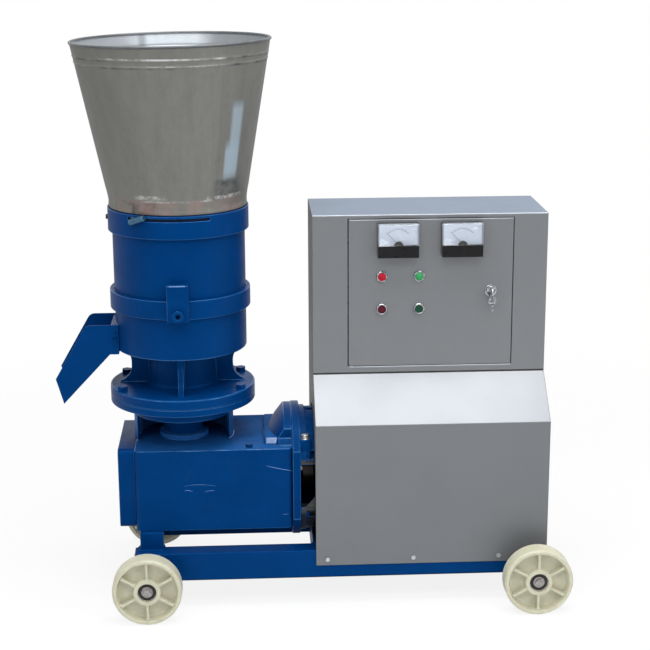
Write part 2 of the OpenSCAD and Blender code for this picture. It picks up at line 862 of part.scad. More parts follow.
module shaft_coupling()
{
  color(zinc)
  {
    along_x(hub1_x0, 0, axis_z)
    {
      pipe(coup_r, in_r + fit, 0, hub_l);
      translate([0, 0, hub_l - over]) around(3)
        sector(coup_r * jaw_r_in_share, coup_r - jaw_step, -jaw_half, jaw_half, jaw_l + over - gap);
    }
    along_x(hub2_x0, 0, axis_z)
    {
      pipe(coup_r, motor_shaft_r + fit, 0, hub_l);
      translate([0, 0, -jaw_l + gap]) around(3, 60)
        sector(coup_r * jaw_r_in_share, coup_r - jaw_step, -jaw_half, jaw_half, jaw_l + over - gap);
    }
  }
}

module coupling_spider()
{
  color([0.6, 0.1, 0.1]) along_x(hub1_x0 + hub_l + gap, 0, axis_z) difference()
  {
    union()
    {
      cylinder(r = coup_r * jaw_r_in_share - gap, h = jaw_l);
      around(6, 30) sector(jaw_step, coup_r - 2 * jaw_step, -arm_half, arm_half, jaw_l);
    }
    translate([0, 0, -over]) cylinder(r = coup_r * jaw_r_in_share / 2, h = jaw_l + 2 * over);
  }
}

// Spindle with its crown gear, throw plate and die
floor_t = 6;
floor_drop = 6;
lower_barrel_h = 128;
joint_z = barrel_z + lower_barrel_h;
barrel_h = 315;
seat_z = barrel_z + barrel_h;
throw_up = 20;
throw_z = barrel_z + throw_up;
throw_t = 8;
throw_r = 140;
paddle_h = 28;
paddle_t = 6;
die_up = 80;
die_z = barrel_z + die_up;
die_top = die_z + die_t;
die_seat_r = 32;
die_ring_shares = [0.47, 0.61, 0.75];
nut_r = 37;
nut_h = 19;
thread_r = 24;
shaft_over = 3;
shaft_top = die_top + nut_h + shaft_over;
roller_axle_r = 22;
axle_boss_r = 26;
axle_flat = 20;
roller_z = die_top + gap + roller_r;

// Bevel gears, pitch cones with a common apex on both axes
pinion_teeth = 12;
crown_teeth = 36;
face_w = 32;
gear_ratio = crown_teeth / pinion_teeth;
gear_module = 2 * crown_r / crown_teeth;
pinion_r = gear_module * pinion_teeth / 2;
cone_l = sqrt(pinion_r * pinion_r + crown_r * crown_r);
crown_cone = atan(gear_ratio);
add_share = 0.9;
ded_share = 1.15;
half_thick_share = 0.66;
flank = 20;
crown_body = 22;
crown_hub_r = 58;
crown_hub_l = 10;
crown_drop = 10.5;
pinion_neck_r = 26;

// Radius of a cone surface in the plane of the gear's large end
function cone_radius(dist, cone, offset) = dist * tan(cone + atan(offset / cone_l));
// Outline of a toothed gear: root, flank and tip points of each tooth
function tooth_angle(r, grow) = (half_thick_share * gear_module - grow * tan(flank)) / r * 180 / PI;
function gear_pts(n, dist, cone, r, start) = let (
  add = add_share * gear_module, ded = ded_share * gear_module,
  r_tip = cone_radius(dist, cone, add), r_root = cone_radius(dist, cone, -ded),
  a_tip = tooth_angle(r + add * cos(cone), add), a_mid = tooth_angle(r, 0),
  a_root = tooth_angle(r - ded * cos(cone), -ded))
  [for (i = [0 : n - 1]) let (c = start + i * 360 / n)
    each [for (p = [[r_root, -a_root], [r, -a_mid], [r_tip, -a_tip],
      [r_tip, a_tip], [r, a_mid], [r_root, a_root]])
      [p[0] * cos(c + p[1]), p[0] * sin(c + p[1])]]];

module crown_gear()
{
  h = face_w * cos(crown_cone);
  plane = axis_z - pinion_r;
  grow = (pinion_r + crown_drop) / pinion_r;
  color(zinc) translate([spindle_x, 0, 0]) difference()
  {
    union()
    {
      intersection()
      {
        translate([0, 0, plane - crown_drop])
          linear_extrude(h + crown_drop, scale = (pinion_r - h) / (pinion_r + crown_drop))
            polygon([for (p = gear_pts(crown_teeth, pinion_r, crown_cone, crown_r, 0)) p * grow]);
        translate([0, 0, plane - crown_drop - over])
          cylinder(r = crown_r + crown_rim_over, h = h + crown_drop + 2 * over);
      }
      translate([0, 0, plane - crown_body])
        cylinder(r = crown_r + crown_rim_over, h = crown_body - crown_drop + over / 10);
      translate([0, 0, plane - crown_body - crown_hub_l]) cylinder(r = crown_hub_r, h = crown_hub_l + over);
    }
    translate([0, 0, plane - crown_body - crown_hub_l - over])
      cylinder(r = shaft_r + fit, h = crown_body + crown_hub_l + h + 2 * over);
  }
}

module input_shaft()
{
  h = face_w * sin(crown_cone);
  color(zinc) union()
  {
    translate([spindle_x + crown_r, 0, axis_z]) rotate([0, -90, 0])
      linear_extrude(h, scale = (crown_r - h) / crown_r)
        polygon(gear_pts(pinion_teeth, crown_r, 90 - crown_cone, pinion_r, 180 / pinion_teeth));
    along_x(spindle_x + crown_r - over / 2, 0, axis_z)
      cylinder(r = pinion_neck_r, h = in_bearing_x1 - spindle_x - crown_r + over / 2 - gap);
    along_x(in_bearing_x1 - over, 0, axis_z)
      cylinder(r = in_r, h = hub1_x0 + hub_l - in_bearing_x1 + over);
  }
}

module main_shaft()
{
  z0 = low_bearing_z + gap;
  color(zinc) translate([spindle_x, 0, 0]) turned([[0, z0], [shaft_r - cham, z0],
    [shaft_r, z0 + cham], [shaft_r, die_z], [die_seat_r, die_z], [die_seat_r, die_top],
    [thread_r, die_top], [thread_r, shaft_top - cham], [thread_r - cham, shaft_top],
    [0, shaft_top]]);
}

module throw_plate()
{
  color(zinc) translate([spindle_x, 0, throw_z]) difference()
  {
    union()
    {
      cylinder(r = throw_r, h = throw_t);
      cylinder(r = crown_hub_r, h = throw_t + paddle_h / 2);
      around(2) rotate([0, 0, flank]) translate([crown_hub_r - paddle_t, 0, throw_t - over])
        rotate([0, 0, -flank]) cube([throw_r - crown_hub_r - paddle_t, paddle_t, paddle_h + over]);
    }
    translate([0, 0, -over]) cylinder(r = shaft_r + fit, h = throw_t + paddle_h + 2 * over);
  }
}

module flat_die()
{
  color([0.6, 0.6, 0.6]) translate([spindle_x, 0, die_z]) difference()
  {
    pipe(die_r, die_seat_r + fit, 0, die_t);
    for (i = [0 : len(die_ring_shares) - 1]) around(die_holes, i * 180 / die_holes)
      translate([die_ring_shares[i] * die_r, 0, -over]) cylinder(r = die_hole_r, h = die_t + 2 * over);
  }
}

module spindle_nut()
{
  color(zinc) translate([spindle_x, 0, die_top + fit]) difference()
  {
    cylinder(r = nut_r, h = nut_h, $fn = 6);
    translate([0, 0, -over]) cylinder(r = thread_r + fit, h = nut_h + 2 * over);
  }
}

// Rollers on their fixed axle
roller_grooves = 30;
groove_w = 4;
groove_d = 2;
collar_t = 5;
axle_round_y = 134;
pocket_end_y = 178;

module roller_at(y)
{
  color([0.5, 0.5, 0.5]) along_y(spindle_x, y - roller_w / 2, roller_z) difference()
  {
    pipe(roller_r, roller_axle_r + run, 0, roller_w);
    around(roller_grooves) translate([roller_r - groove_d, -groove_w / 2, -over])
      cube([groove_d + over, groove_w, roller_w + 2 * over]);
  }
}
module front_roller() { roller_at(-roller_y); }
module rear_roller() { roller_at(roller_y); }

module roller_axle()
{
  y_in = roller_y - roller_w / 2 - gap;
  y_out = roller_y + roller_w / 2 + gap;
  color(zinc)
  {
    along_y(spindle_x, -axle_round_y, roller_z) cylinder(r = roller_axle_r, h = 2 * axle_round_y);
    along_y(spindle_x, -y_in, roller_z) cylinder(r = axle_boss_r, h = 2 * y_in);
    for (s = [0, 1]) mirror([0, s, 0])
    {
      along_y(spindle_x, y_out, roller_z) cylinder(r = axle_boss_r, h = collar_t);
      block([spindle_x - axle_flat, axle_round_y - over, roller_z - axle_flat],
        [spindle_x + axle_flat, pocket_end_y, roller_z + axle_flat]);
    }
  }
}

// Mill body
collar_out = 6.5;
collar_r = barrel_r + collar_out;
joint_ring_t = 11;
joint_ring_z = joint_z - joint_ring_h / 2;
hopper_ring_drop = 16;
hopper_ring_z = seat_z - hopper_ring_drop;
hopper_ring_top = hopper_ring_z + hopper_ring_h;
pocket_w = 26;
pocket_y = 187;
pocket_drop = 25;
pocket_z0 = joint_z - pocket_drop;
pocket_roof = 6;
pocket_z1 = roller_z + axle_flat + roller_lift + pocket_roof;
adjust_r = 14;
adjust_drop = 9;
adjust_z = joint_z - adjust_drop;
adjust_out = 12;
adjust_in = 20;
socket_r = 7;
socket_d = 14;
web_steps = 12;
web_foot_r = 160;
outlet_l = 172;
outlet_wall = 4;
outlet_drop = 7;
outlet_z = barrel_z - outlet_drop;
chute_up = 68;
chute_top = barrel_z + chute_up;
chute_bend_x = 232;
chute_lip_drop = 68;
chute_lip_z = barrel_z - chute_lip_drop;
chute_tip_in = 18;
chute_tip_drop = 132;
chute_tip_z = barrel_z - chute_tip_drop;
chute_knee_x = 175;
chute_gap = 0.2;
chute_corner_r = 20;
chute_bolt_r = 4;
chute_bolt_head_r = 6.5;
chute_bolt_head_h = 5;
chute_bolt_in = 10;
chute_bolt_z_shares = [0.45, 0.68];
side_bolt_z = hopper_ring_z + hopper_ring_h / 2;

// Webs with a hollow outer edge, from the flange up to the barrel's floor
module web()
{
  z0 = flange_z + flange_t;
  h = barrel_z - z0;
  depth = web_foot_r - web_waist_r;
  rotate([90, 0, 0]) translate([0, 0, -web_t / 2]) linear_extrude(web_t)
    polygon(concat([[neck_r - 2 * over, z0 - over], [web_foot_r, z0 - over]],
      [for (i = [0 : web_steps]) let (t = i / web_steps, u = abs(2 * t - 1))
        [web_waist_r + depth * u * u * u, z0 + h * t]],
      [[web_foot_r, barrel_z + over], [neck_r - 2 * over, barrel_z + over]]));
}

module lower_barrel()
{
  floor_top = barrel_z + floor_t;
  iy = chute_w / 2 - chute_t - chute_gap;
  color(blue) translate([spindle_x, 0, 0]) difference()
  {
    union()
    {
      turned([[sp_bearing_r + fit, flange_z], [flange_r - cham, flange_z], [flange_r, flange_z + cham],
        [flange_r, flange_z + flange_t - 2 * cham], [flange_r - 2 * cham, flange_z + flange_t],
        [neck_r + cham, flange_z + flange_t], [neck_r, flange_z + flange_t + cham],
        [neck_r, barrel_z], [barrel_r - 2 * cham, barrel_z], [barrel_r, barrel_z + 2 * cham],
        [barrel_r, joint_z], [barrel_r - barrel_t, joint_z], [barrel_r - barrel_t, floor_top],
        [seal_r, floor_top], [seal_r, neck_bearing_z + sp_bearing_w + fit],
        [sp_bearing_r + fit, neck_bearing_z + sp_bearing_w + fit]]);
      around(4) web();
      block([-outlet_l, -iy, outlet_z], [-barrel_r + barrel_t, iy, chute_top - chute_t]);
    }
    // Outlet
    block([-outlet_l - over, -iy + outlet_wall, outlet_z + outlet_wall],
      [-barrel_r + over, iy - outlet_wall, chute_top - chute_t - outlet_wall]);
    block([-barrel_r - over, -iy + outlet_wall, floor_top],
      [-barrel_r + barrel_t * 3, iy - outlet_wall, chute_top - chute_t - outlet_wall]);
    translate([0, 0, flange_z - over]) mill_bolt_places()
      cylinder(r = mill_bolt_r + bolt_gap, h = flange_t + 2 * over);
    for (s = chute_bolt_z_shares) chute_bolt_place(s)
      translate([0, 0, -iy - over - outlet_wall * 2])
        cylinder(r = chute_bolt_r + bolt_gap, h = outlet_wall * 4);
    for (s = chute_bolt_z_shares) mirror([0, 1, 0]) chute_bolt_place(s)
      translate([0, 0, -iy - over - outlet_wall * 2])
        cylinder(r = chute_bolt_r + bolt_gap, h = outlet_wall * 4);
  }
}

// Axis of a chute bolt, pointing out of the chute's front side from its middle
module chute_bolt_place(s)
{
  translate([-outlet_l + chute_bolt_in, 0, outlet_z + s * (chute_top - outlet_z)])
    rotate([-90, 0, 0]) children();
}

// The chute's side plates follow one outline, its floor joins their lower edges
module discharge_chute()
{
  y1 = chute_w / 2;
  turn = atan((chute_top - chute_lip_z) / (chute_reach - chute_bend_x));
  tip = [-chute_reach + chute_tip_in, chute_tip_z];
  knee = [-chute_knee_x, outlet_z];
  side = concat([[-barrel_r + barrel_t, chute_top]],
    arc(-chute_bend_x + chute_corner_r * tan(turn / 2), chute_top - chute_corner_r,
      chute_corner_r, 90, 90 + turn, corner_steps),
    [[-chute_reach, chute_lip_z], tip, knee, [-barrel_r + barrel_t, outlet_z]]);
  run_v = knee - tip;
  nrm = [-run_v[1], run_v[0]] / norm(run_v) * chute_t;
  color(blue) translate([spindle_x, 0, 0]) difference()
  {
    union()
    {
      for (y = [-y1, y1 - chute_t]) bar_y(y, y + chute_t, side);
      bar_y(-y1 + chute_t - over / 2, y1 - chute_t + over / 2, [tip, knee,
        [-outlet_l - chute_gap, outlet_z], [-outlet_l - chute_gap, outlet_z + chute_t],
        [knee[0] + nrm[0] / 2, outlet_z + chute_t], tip + nrm]);
    }
    translate([0, 0, -over]) cylinder(r = barrel_r + gap, h = joint_z);
    for (s = chute_bolt_z_shares) chute_bolt_place(s) translate([0, 0, -y1 - over])
      cylinder(r = chute_bolt_r + bolt_gap, h = chute_w + 2 * over);
  }
}

// Opening for one end of the roller axle
module axle_slot(y0, y1, clear)
{
  block([-axle_flat - clear, y0, roller_z - axle_flat - clear],
    [axle_flat + clear, y1, roller_z + axle_flat + roller_lift + clear]);
}

module upper_barrel()
{
  color(blue) translate([spindle_x, 0, 0]) difference()
  {
    pipe(barrel_r, barrel_r - barrel_t, joint_z, seat_z);
    axle_slot(-pocket_y, pocket_y, gap);
  }
}

module joint_ring()
{
  color(blue) translate([spindle_x, 0, 0]) difference()
  {
    pipe(barrel_r + joint_ring_t, barrel_r + fit, joint_ring_z, joint_ring_z + joint_ring_h);
    block([-pocket_w - gap, -pocket_y, joint_ring_z - over],
      [pocket_w + gap, pocket_y, joint_ring_z + joint_ring_h + over]);
  }
}

module axle_pockets()
{
  color(blue) translate([spindle_x, 0, 0]) for (s = [0, 1]) mirror([0, s, 0]) difference()
  {
    block([-pocket_w, -pocket_y, pocket_z0], [pocket_w, -barrel_r + barrel_t, pocket_z1]);
    translate([0, 0, pocket_z0 - over]) cylinder(r = barrel_r + fit, h = pocket_z1 - pocket_z0 + 2 * over);
    axle_slot(-pocket_end_y - gap, 0, gap);
    along_y(0, -pocket_y - over, adjust_z) cylinder(r = adjust_r + fit, h = adjust_in + over);
  }
}

module adjusting_bolts()
{
  color(zinc) translate([spindle_x, 0, 0]) for (s = [0, 1]) mirror([0, s, 0])
    along_y(0, -pocket_y - adjust_out, adjust_z) difference()
  {
    cylinder(r = adjust_r, h = adjust_out + adjust_in - fit);
    translate([0, 0, -over]) cylinder(r = socket_r, h = socket_d + over, $fn = 6);
  }
}

// Hopper ring with the slot of the hopper's lock bolt
lock_bolt_r = 3.2;
slot_h = 2 * lock_bolt_r + 2 * gap;
slot_drop = 10;
slot_z = hopper_ring_top - slot_drop;
slot_a0 = -42;
slot_a1 = 28;
lock_bolt_az = -35;
lock_head_r = 6.5;
lock_head_h = 5;
lock_in = 5;

module hopper_ring()
{
  r = barrel_r + ring_t;
  color(blue) translate([spindle_x, 0, 0]) difference()
  {
    turned([[barrel_r + fit, hopper_ring_z], [r - cham, hopper_ring_z], [r, hopper_ring_z + cham],
      [r, hopper_ring_top - cham], [r - cham, hopper_ring_top], [collar_r + gap, hopper_ring_top],
      [collar_r + gap, seat_z], [barrel_r + fit, seat_z]]);
    translate([0, 0, slot_z - slot_h / 2]) rotate([0, 0, -90])
      sector(collar_r - over, r + ring_t, slot_a0, slot_a1, slot_h);
    along_x(-r - over, 0, side_bolt_z) cylinder(r = chute_bolt_r + fit, h = ring_t);
  }
}

module mill_bolts()
{
  y1 = chute_w / 2;
  color(black) translate([spindle_x, 0, 0])
  {
    translate([0, 0, flange_z + flange_t]) mill_bolt_places()
      hex_bolt(mill_bolt_r, flange_t + lantern_flange_t, mill_bolt_head_r, mill_bolt_head_h);
    for (m = [0, 1]) mirror([0, m, 0]) for (s = chute_bolt_z_shares) chute_bolt_place(s)
      translate([0, 0, -y1]) mirror([0, 0, 1])
        hex_bolt(chute_bolt_r, chute_t + outlet_wall, chute_bolt_head_r, chute_bolt_head_h);
    along_x(-barrel_r - ring_t, 0, side_bolt_z) mirror([0, 0, 1])
      hex_bolt(chute_bolt_r, ring_t - collar_r + barrel_r - fit, chute_bolt_head_r, chute_bolt_head_h);
  }
}

// Hopper of tin sheet with a rolled rim and two beads
rim_r = 3.5;
bead_r = 2;
bead_drop_shares = [0.08, 0.12];
hopper_z0 = seat_z + gap;
hopper_kink = seat_z + collar_h;

module hopper()
{
  top = hopper_top - rim_r;
  h = top - hopper_kink;
  color(tin) translate([spindle_x, 0, 0]) difference()
  {
    union()
    {
      turned([[collar_r - hopper_t, hopper_z0], [collar_r, hopper_z0], [collar_r, hopper_kink],
        [hopper_r, top], [hopper_r - hopper_t, top], [collar_r - hopper_t, hopper_kink]]);
      translate([0, 0, top]) rotate_extrude() translate([hopper_r - hopper_t / 2, 0]) circle(r = rim_r);
      for (s = bead_drop_shares) translate([0, 0, top - s * h])
        rotate_extrude() translate([hopper_r - hopper_t / 2 - s * (hopper_r - collar_r), 0])
          circle(r = bead_r);
    }
    rotate([0, 0, lock_bolt_az]) along_y(0, -collar_r - over, slot_z)
      cylinder(r = lock_bolt_r + fit, h = hopper_t * 2 + over);
  }
}

module hopper_lock_bolt()
{
  r = barrel_r + ring_t + gap;
  color(zinc) translate([spindle_x, 0, 0]) rotate([0, 0, lock_bolt_az])
    along_y(0, -r, slot_z) mirror([0, 0, 1])
  {
    cylinder(r = lock_head_r, h = lock_head_h, $fn = 6);
    translate([0, 0, -r + collar_r - hopper_t - lock_in])
      cylinder(r = lock_bolt_r, h = r - collar_r + hopper_t + lock_in + over);
    translate([0, 0, -r + collar_r - hopper_t - lock_in])
      cylinder(r = lock_head_r, h = lock_in - fit, $fn = 6);
  }
}

// Cabinet
cover_gap = 0.5;
cab_d = frame_w + 2 * (sheet_t + cover_gap);
cab_y = cab_d / 2;
box_y = cab_y - box_d;
slope_top = slope_z + slope_h;
cab_hole_r = bell_r + 6;
lip_in = 10;
gland_r = 16;
gland_bore = 7;
gland_l = 18;
gland_nut_l = 8;
gland_in = 70;
gland_x = cab_rx - gland_in;
gland_up = 110;
gland_z = cab_z + gland_up;
cable_hole_r = 20;

function cover_pts(t) = [[-cab_y + t, cab_z - (t > 0 ? over : 0)], [-cab_y + t, slope_z],
  [box_y + t, slope_top - t], [cab_y - t, slope_top - t], [cab_y - t, cab_z - (t > 0 ? over : 0)]];

module motor_cover()
{
  color(grey) difference()
  {
    bar_x(cab_x, cab_rx, cover_pts(0));
    bar_x(cab_x + sheet_t, cab_rx - sheet_t, cover_pts(sheet_t));
    // Way for the bell housing and the rails through the left panel
    along_x(cab_x - over, 0, axis_z) cylinder(r = cab_hole_r, h = sheet_t + 2 * over);
    block([cab_x - over, -cab_hole_r, cab_z - over], [cab_x + sheet_t + over, cab_hole_r, axis_z]);
    block([cab_x - over, -frame_w / 2 - fit, cab_z - over],
      [cab_x + sheet_t + over, frame_w / 2 + fit, rail_top + gap]);
    for (x = screw_xs) along_y(x, -cab_y - over, screw_z)
      cylinder(r = screw_r + bolt_gap / 2, h = cab_d + 2 * over);
    along_y(gland_x, cab_y - sheet_t - over, gland_z)
      cylinder(r = gland_bore + fan_cover_t + bolt_gap, h = sheet_t + 2 * over);
    translate([cab_x + cab_l / 2, cab_y / 2, slope_top - sheet_t - over])
      cylinder(r = cable_hole_r, h = sheet_t + 2 * over);
  }
}

module cover_screws()
{
  color(zinc) for (x = screw_xs) for (s = [0, 1]) mirror([0, s, 0])
    along_y(x, cab_y, screw_z)
    {
      cylinder(r = screw_head_r, h = screw_head_h);
      translate([0, 0, -(cab_y - frame_w / 2) - rail_t])
        cylinder(r = screw_r, h = cab_y - frame_w / 2 + rail_t + over);
    }
}

module cable_gland()
{
  color(black) along_y(gland_x, cab_y, gland_z) difference()
  {
    union()
    {
      cylinder(r = gland_r, h = gland_nut_l, $fn = 6);
      cylinder(r = gland_r - 2 * cham, h = gland_l);
      translate([0, 0, -sheet_t - gland_nut_l])
        cylinder(r = gland_bore + fan_cover_t, h = sheet_t + gland_nut_l + over);
      translate([0, 0, -sheet_t - gland_nut_l]) cylinder(r = gland_r, h = gland_nut_l - fit, $fn = 6);
    }
    translate([0, 0, -sheet_t - gland_nut_l - over])
      cylinder(r = gland_bore, h = gland_l + sheet_t + gland_nut_l + 2 * over);
  }
}

// Door places
door_w_share = 0.7;
door_w = door_w_share * cab_l;
door_rx = cab_rx - door_right;
door_lx = door_rx - door_w;
door_z0 = slope_top + door_z;
door_z1 = door_z0 + door_h;
door_flange = 15;
hinge_gap = 2;
door_gap = 1.5;
hinge_in = 4.5;
hinge_back = 5.5;
hinge_r = 2.5;
hinge_x = door_lx + hinge_in;
hinge_y = box_y + hinge_back;
hinge_pin_in = 12;
tab_l = 12;
tab_t = 3;

module control_box()
{
  z0 = slope_top;
  color(grey) union()
  {
    difference()
    {
      block([cab_x, box_y, z0], [cab_rx, cab_y, cab_top]);
      block([cab_x + sheet_t, box_y + sheet_t, z0 + sheet_t],
        [cab_rx - sheet_t, cab_y - sheet_t, cab_top - sheet_t]);
      block([door_lx - hinge_gap, box_y - over, door_z0 - door_gap],
        [door_rx + door_gap, box_y + sheet_t + over, door_z1 + door_gap]);
      translate([cab_x + cab_l / 2, cab_y / 2, z0 - over]) cylinder(r = cable_hole_r, h = sheet_t + 2 * over);
    }
    // Lip behind the lock's cam
    block([door_rx + door_gap, box_y + sheet_t / 2, door_z0],
      [door_rx + door_gap + sheet_t, box_y + door_flange, door_z1]);
    // Tabs that hold the hinge pins
    for (z = [door_z0 - door_gap - tab_t, door_z1 + door_gap])
      difference()
    {
      block([hinge_x - tab_l, box_y + sheet_t / 2, z],
        [hinge_x + tab_l, hinge_y + hinge_r + tab_t, z + tab_t]);
      translate([hinge_x, hinge_y, z - over]) cylinder(r = hinge_r + fit, h = tab_t + 2 * over);
    }
  }
}

module door_hinge_pins()
{
  color(zinc) for (z = [door_z0 - door_gap - tab_t, door_z1 + door_gap + tab_t - hinge_pin_in])
    translate([hinge_x, hinge_y, z]) cylinder(r = hinge_r, h = hinge_pin_in);
}

// Inside the control box
plate_l_share = 0.86;
plate_back = 18;
plate_y = cab_y - plate_back;
plate_in = 26;
stand_r = 6;
rail_din_h = 35;
rail_din_t = 8;
contactor_w = 55;
contactor_h = 86;
contactor_d = 78;
contactor_step = 12;
contactors_n = 4;
contactor_up = 194;
terminal_h = 44;
terminal_d = 40;

module mounting_plate()
{
  x0 = cab_x + cab_l * (1 - plate_l_share) / 2;
  x1 = cab_rx - cab_l * (1 - plate_l_share) / 2;
  z0 = slope_top + plate_in;
  z1 = cab_top - plate_in;
  color(zinc) union()
  {
    block([x0, plate_y - sheet_t, z0], [x1, plate_y, z1]);
    for (x = [x0 + 2 * stand_r, x1 - 2 * stand_r]) for (z = [z0 + 2 * stand_r, z1 - 2 * stand_r])
      along_y(x, plate_y - over, z) cylinder(r = stand_r, h = cab_y - sheet_t - plate_y + over);
  }
}

module contactors()
{
  x0 = cab_x + cab_l * (1 - plate_l_share) / 2 + 4 * stand_r;
  z0 = slope_top + contactor_up;
  zt = slope_top + plate_in * 2;
  w = cab_l * plate_l_share - 8 * stand_r;
  yb = plate_y - sheet_t;
  color([0.2, 0.2, 0.22])
  {
    for (i = [0 : contactors_n - 1]) translate([x0 + w * i / contactors_n, 0, 0])
    {
      block([0, yb - contactor_d * 2 / 3, z0], [contactor_w, yb, z0 + contactor_h]);
      block([0, yb - contactor_d, z0 + contactor_step],
        [contactor_w, yb - contactor_d / 2, z0 + contactor_h - contactor_step]);
    }
    block([x0, yb - terminal_d, zt], [x0 + w * plate_l_share, yb, zt + terminal_h]);
  }
}

// Door with its instruments
meter_drop = 50;
meter_row_z = door_z0 + door_h - meter_drop;
meter_in = 199;
meter_mid_x = door_lx + meter_in;
lamp_in = 82;
lamp_x = door_lx + lamp_in;
lamp_up = 227;
lamp_z = door_z0 + lamp_up;
lock_right = 54;
lock_x = door_rx - lock_right;
lock_up = 188;
lock_z = door_z0 + lock_up;
meter_tail_r = 31;
meter_tail_l = 38;
meter_base_t = 14;
meter_block_share = 0.36;
meter_rim = 1;
window_t = 2;
bump_r = 12;
bump_t = 2;
pivot_up = 3;
pivot_r = 1;
needle_r = 3;
needle_t = 0.8;
needle_w = 1;
needle_l = 35;
needle_rest = 45;
thread_hole = 11;
lamp_tail_l = 26;
bezel_out = 6;
bezel_in_r = 10.2;
lamp_dome = 4;
button_r = 9.8;
button_in = 1.5;
button_l = 14;
lock_r = 9;
lock_out = 5;
lock_tail = 14;
key_t = 2.4;
key_blade_w = 8;
key_l = 16;
key_bow_r = 11;
key_hole_r = 4;
key_ring_r = 11;
key_wire = 1;
cam_l = 64;
cam_w = 14;
cam_t = 2.5;
cam_rod_r = 4;
meters_x = [meter_mid_x - meter_pitch / 2, meter_mid_x + meter_pitch / 2];
lamps_x = [lamp_x, lamp_x + lamp_pitch];
meter_z0 = meter_row_z - meter_h / 2;
block_h = meter_block_share * meter_h;
pivot_z = meter_z0 + block_h + pivot_up;

module panel_door()
{
  f = sheet_t;
  color(grey) difference()
  {
    block([door_lx, box_y, door_z0], [door_rx, box_y + door_flange, door_z1]);
    block([door_lx + f, box_y + f, door_z0 + f], [door_rx - f, box_y + door_flange + over, door_z1 - f]);
    for (x = meters_x) along_y(x, box_y - over, meter_row_z) cylinder(r = meter_tail_r + bolt_gap, h = f + 2 * over);
    for (x = lamps_x) for (z = [lamp_z, lamp_z - lamp_drop])
      along_y(x, box_y - over, z) cylinder(r = thread_hole + bolt_gap, h = f + 2 * over);
    along_y(lock_x, box_y - over, lock_z) cylinder(r = lock_r + bolt_gap, h = f + 2 * over);
    for (z = [door_z0 - over, door_z1 - f - over])
      translate([hinge_x, hinge_y, z]) cylinder(r = hinge_r + run, h = f + 2 * over);
  }
}

module meter_cases()
{
  y0 = box_y - meter_out;
  yd = box_y - meter_base_t;
  color(black) for (x = meters_x)
  {
    along_y(x, box_y - over, meter_row_z) cylinder(r = meter_tail_r, h = meter_tail_l);
    block([x - meter_w / 2, yd, meter_z0], [x + meter_w / 2, box_y, meter_z0 + meter_h]);
    block([x - meter_w / 2, y0, meter_z0], [x + meter_w / 2, yd + over, meter_z0 + block_h]);
    // Half-round cover over the needle's pivot
    intersection()
    {
      along_y(x, y0 + window_t + gap, meter_z0 + block_h - over) cylinder(r = bump_r, h = bump_t);
      block([x - bump_r, y0, meter_z0], [x + bump_r, box_y, meter_z0 + meter_h]);
    }
    along_y(x, y0 + window_t + gap + bump_t / 2, pivot_z) cylinder(r = pivot_r, h = meter_out - meter_base_t);
  }
}

module meter_windows()
{
  y0 = box_y - meter_out;
  yd = box_y - meter_base_t;
  z0 = meter_z0 + block_h + fit;
  z1 = meter_z0 + meter_h;
  color([0.8, 0.85, 0.9, 0.3]) for (x = meters_x) difference()
  {
    block([x - meter_w / 2, y0, z0], [x + meter_w / 2, yd - fit, z1]);
    block([x - meter_w / 2 + window_t, y0 + window_t, z0 - over], [x + meter_w / 2 - window_t, yd + over, z1 - window_t]);
  }
}

module needle_at(x)
{
  yd = box_y - meter_base_t;
  mid = (box_y - meter_out + window_t + gap + bump_t + yd) / 2;
  color([0.1, 0.1, 0.1]) translate([x, 0, pivot_z]) rotate([0, -needle_rest, 0]) difference()
  {
    union()
    {
      block([-needle_w / 2, mid - needle_t / 2, 0], [needle_w / 2, mid + needle_t / 2, needle_l]);
      along_y(0, mid - needle_r / 2, 0) cylinder(r = needle_r - gap, h = needle_r);
    }
    along_y(0, mid - needle_r, 0) cylinder(r = pivot_r + run, h = needle_r * 2);
  }
}
module voltmeter_needle() { needle_at(meters_x[0]); }
module ammeter_needle() { needle_at(meters_x[1]); }

module lamp_bezels()
{
  color(zinc) for (x = lamps_x) for (z = [lamp_z, lamp_z - lamp_drop])
    along_y(x, box_y - bezel_out, z) turned([[bezel_in_r, 0], [bezel_r - cham, 0], [bezel_r, cham],
      [bezel_r, bezel_out], [thread_hole, bezel_out], [thread_hole, bezel_out + sheet_t + fit],
      [bezel_r + cham, bezel_out + sheet_t + fit], [bezel_r + cham, bezel_out + sheet_t + lamp_dome],
      [thread_hole, bezel_out + sheet_t + lamp_dome], [thread_hole, bezel_out + lamp_tail_l],
      [0, bezel_out + lamp_tail_l], [0, bezel_out + button_l + button_stroke],
      [bezel_in_r, bezel_out + button_l + button_stroke]]);
}

module lamp_lens(x)
{
  l = bezel_out + button_l;
  along_y(x, box_y - bezel_out, lamp_z)
    turned(concat([[0, l], [0, -lamp_dome]],
      [for (i = [1 : corner_steps]) let (a = i * 90 / corner_steps)
        [(bezel_in_r - fit) * sin(a), -lamp_dome * cos(a)]], [[bezel_in_r - fit, l]]));
}
module red_lamp() { color([0.8, 0.05, 0.05]) lamp_lens(lamps_x[0]); }
module green_lamp() { color([0.05, 0.6, 0.15]) lamp_lens(lamps_x[1]); }

module button_at(x)
{
  l = bezel_out + button_l - button_in - button_stroke;
  along_y(x, box_y - bezel_out + button_in, lamp_z - lamp_drop)
    turned([[0, 0], [button_r - cham, 0], [button_r, cham], [button_r, l], [0, l]]);
}
module stop_button() { color([0.5, 0.03, 0.03]) button_at(lamps_x[0]); }
module start_button() { color([0.03, 0.3, 0.08]) button_at(lamps_x[1]); }

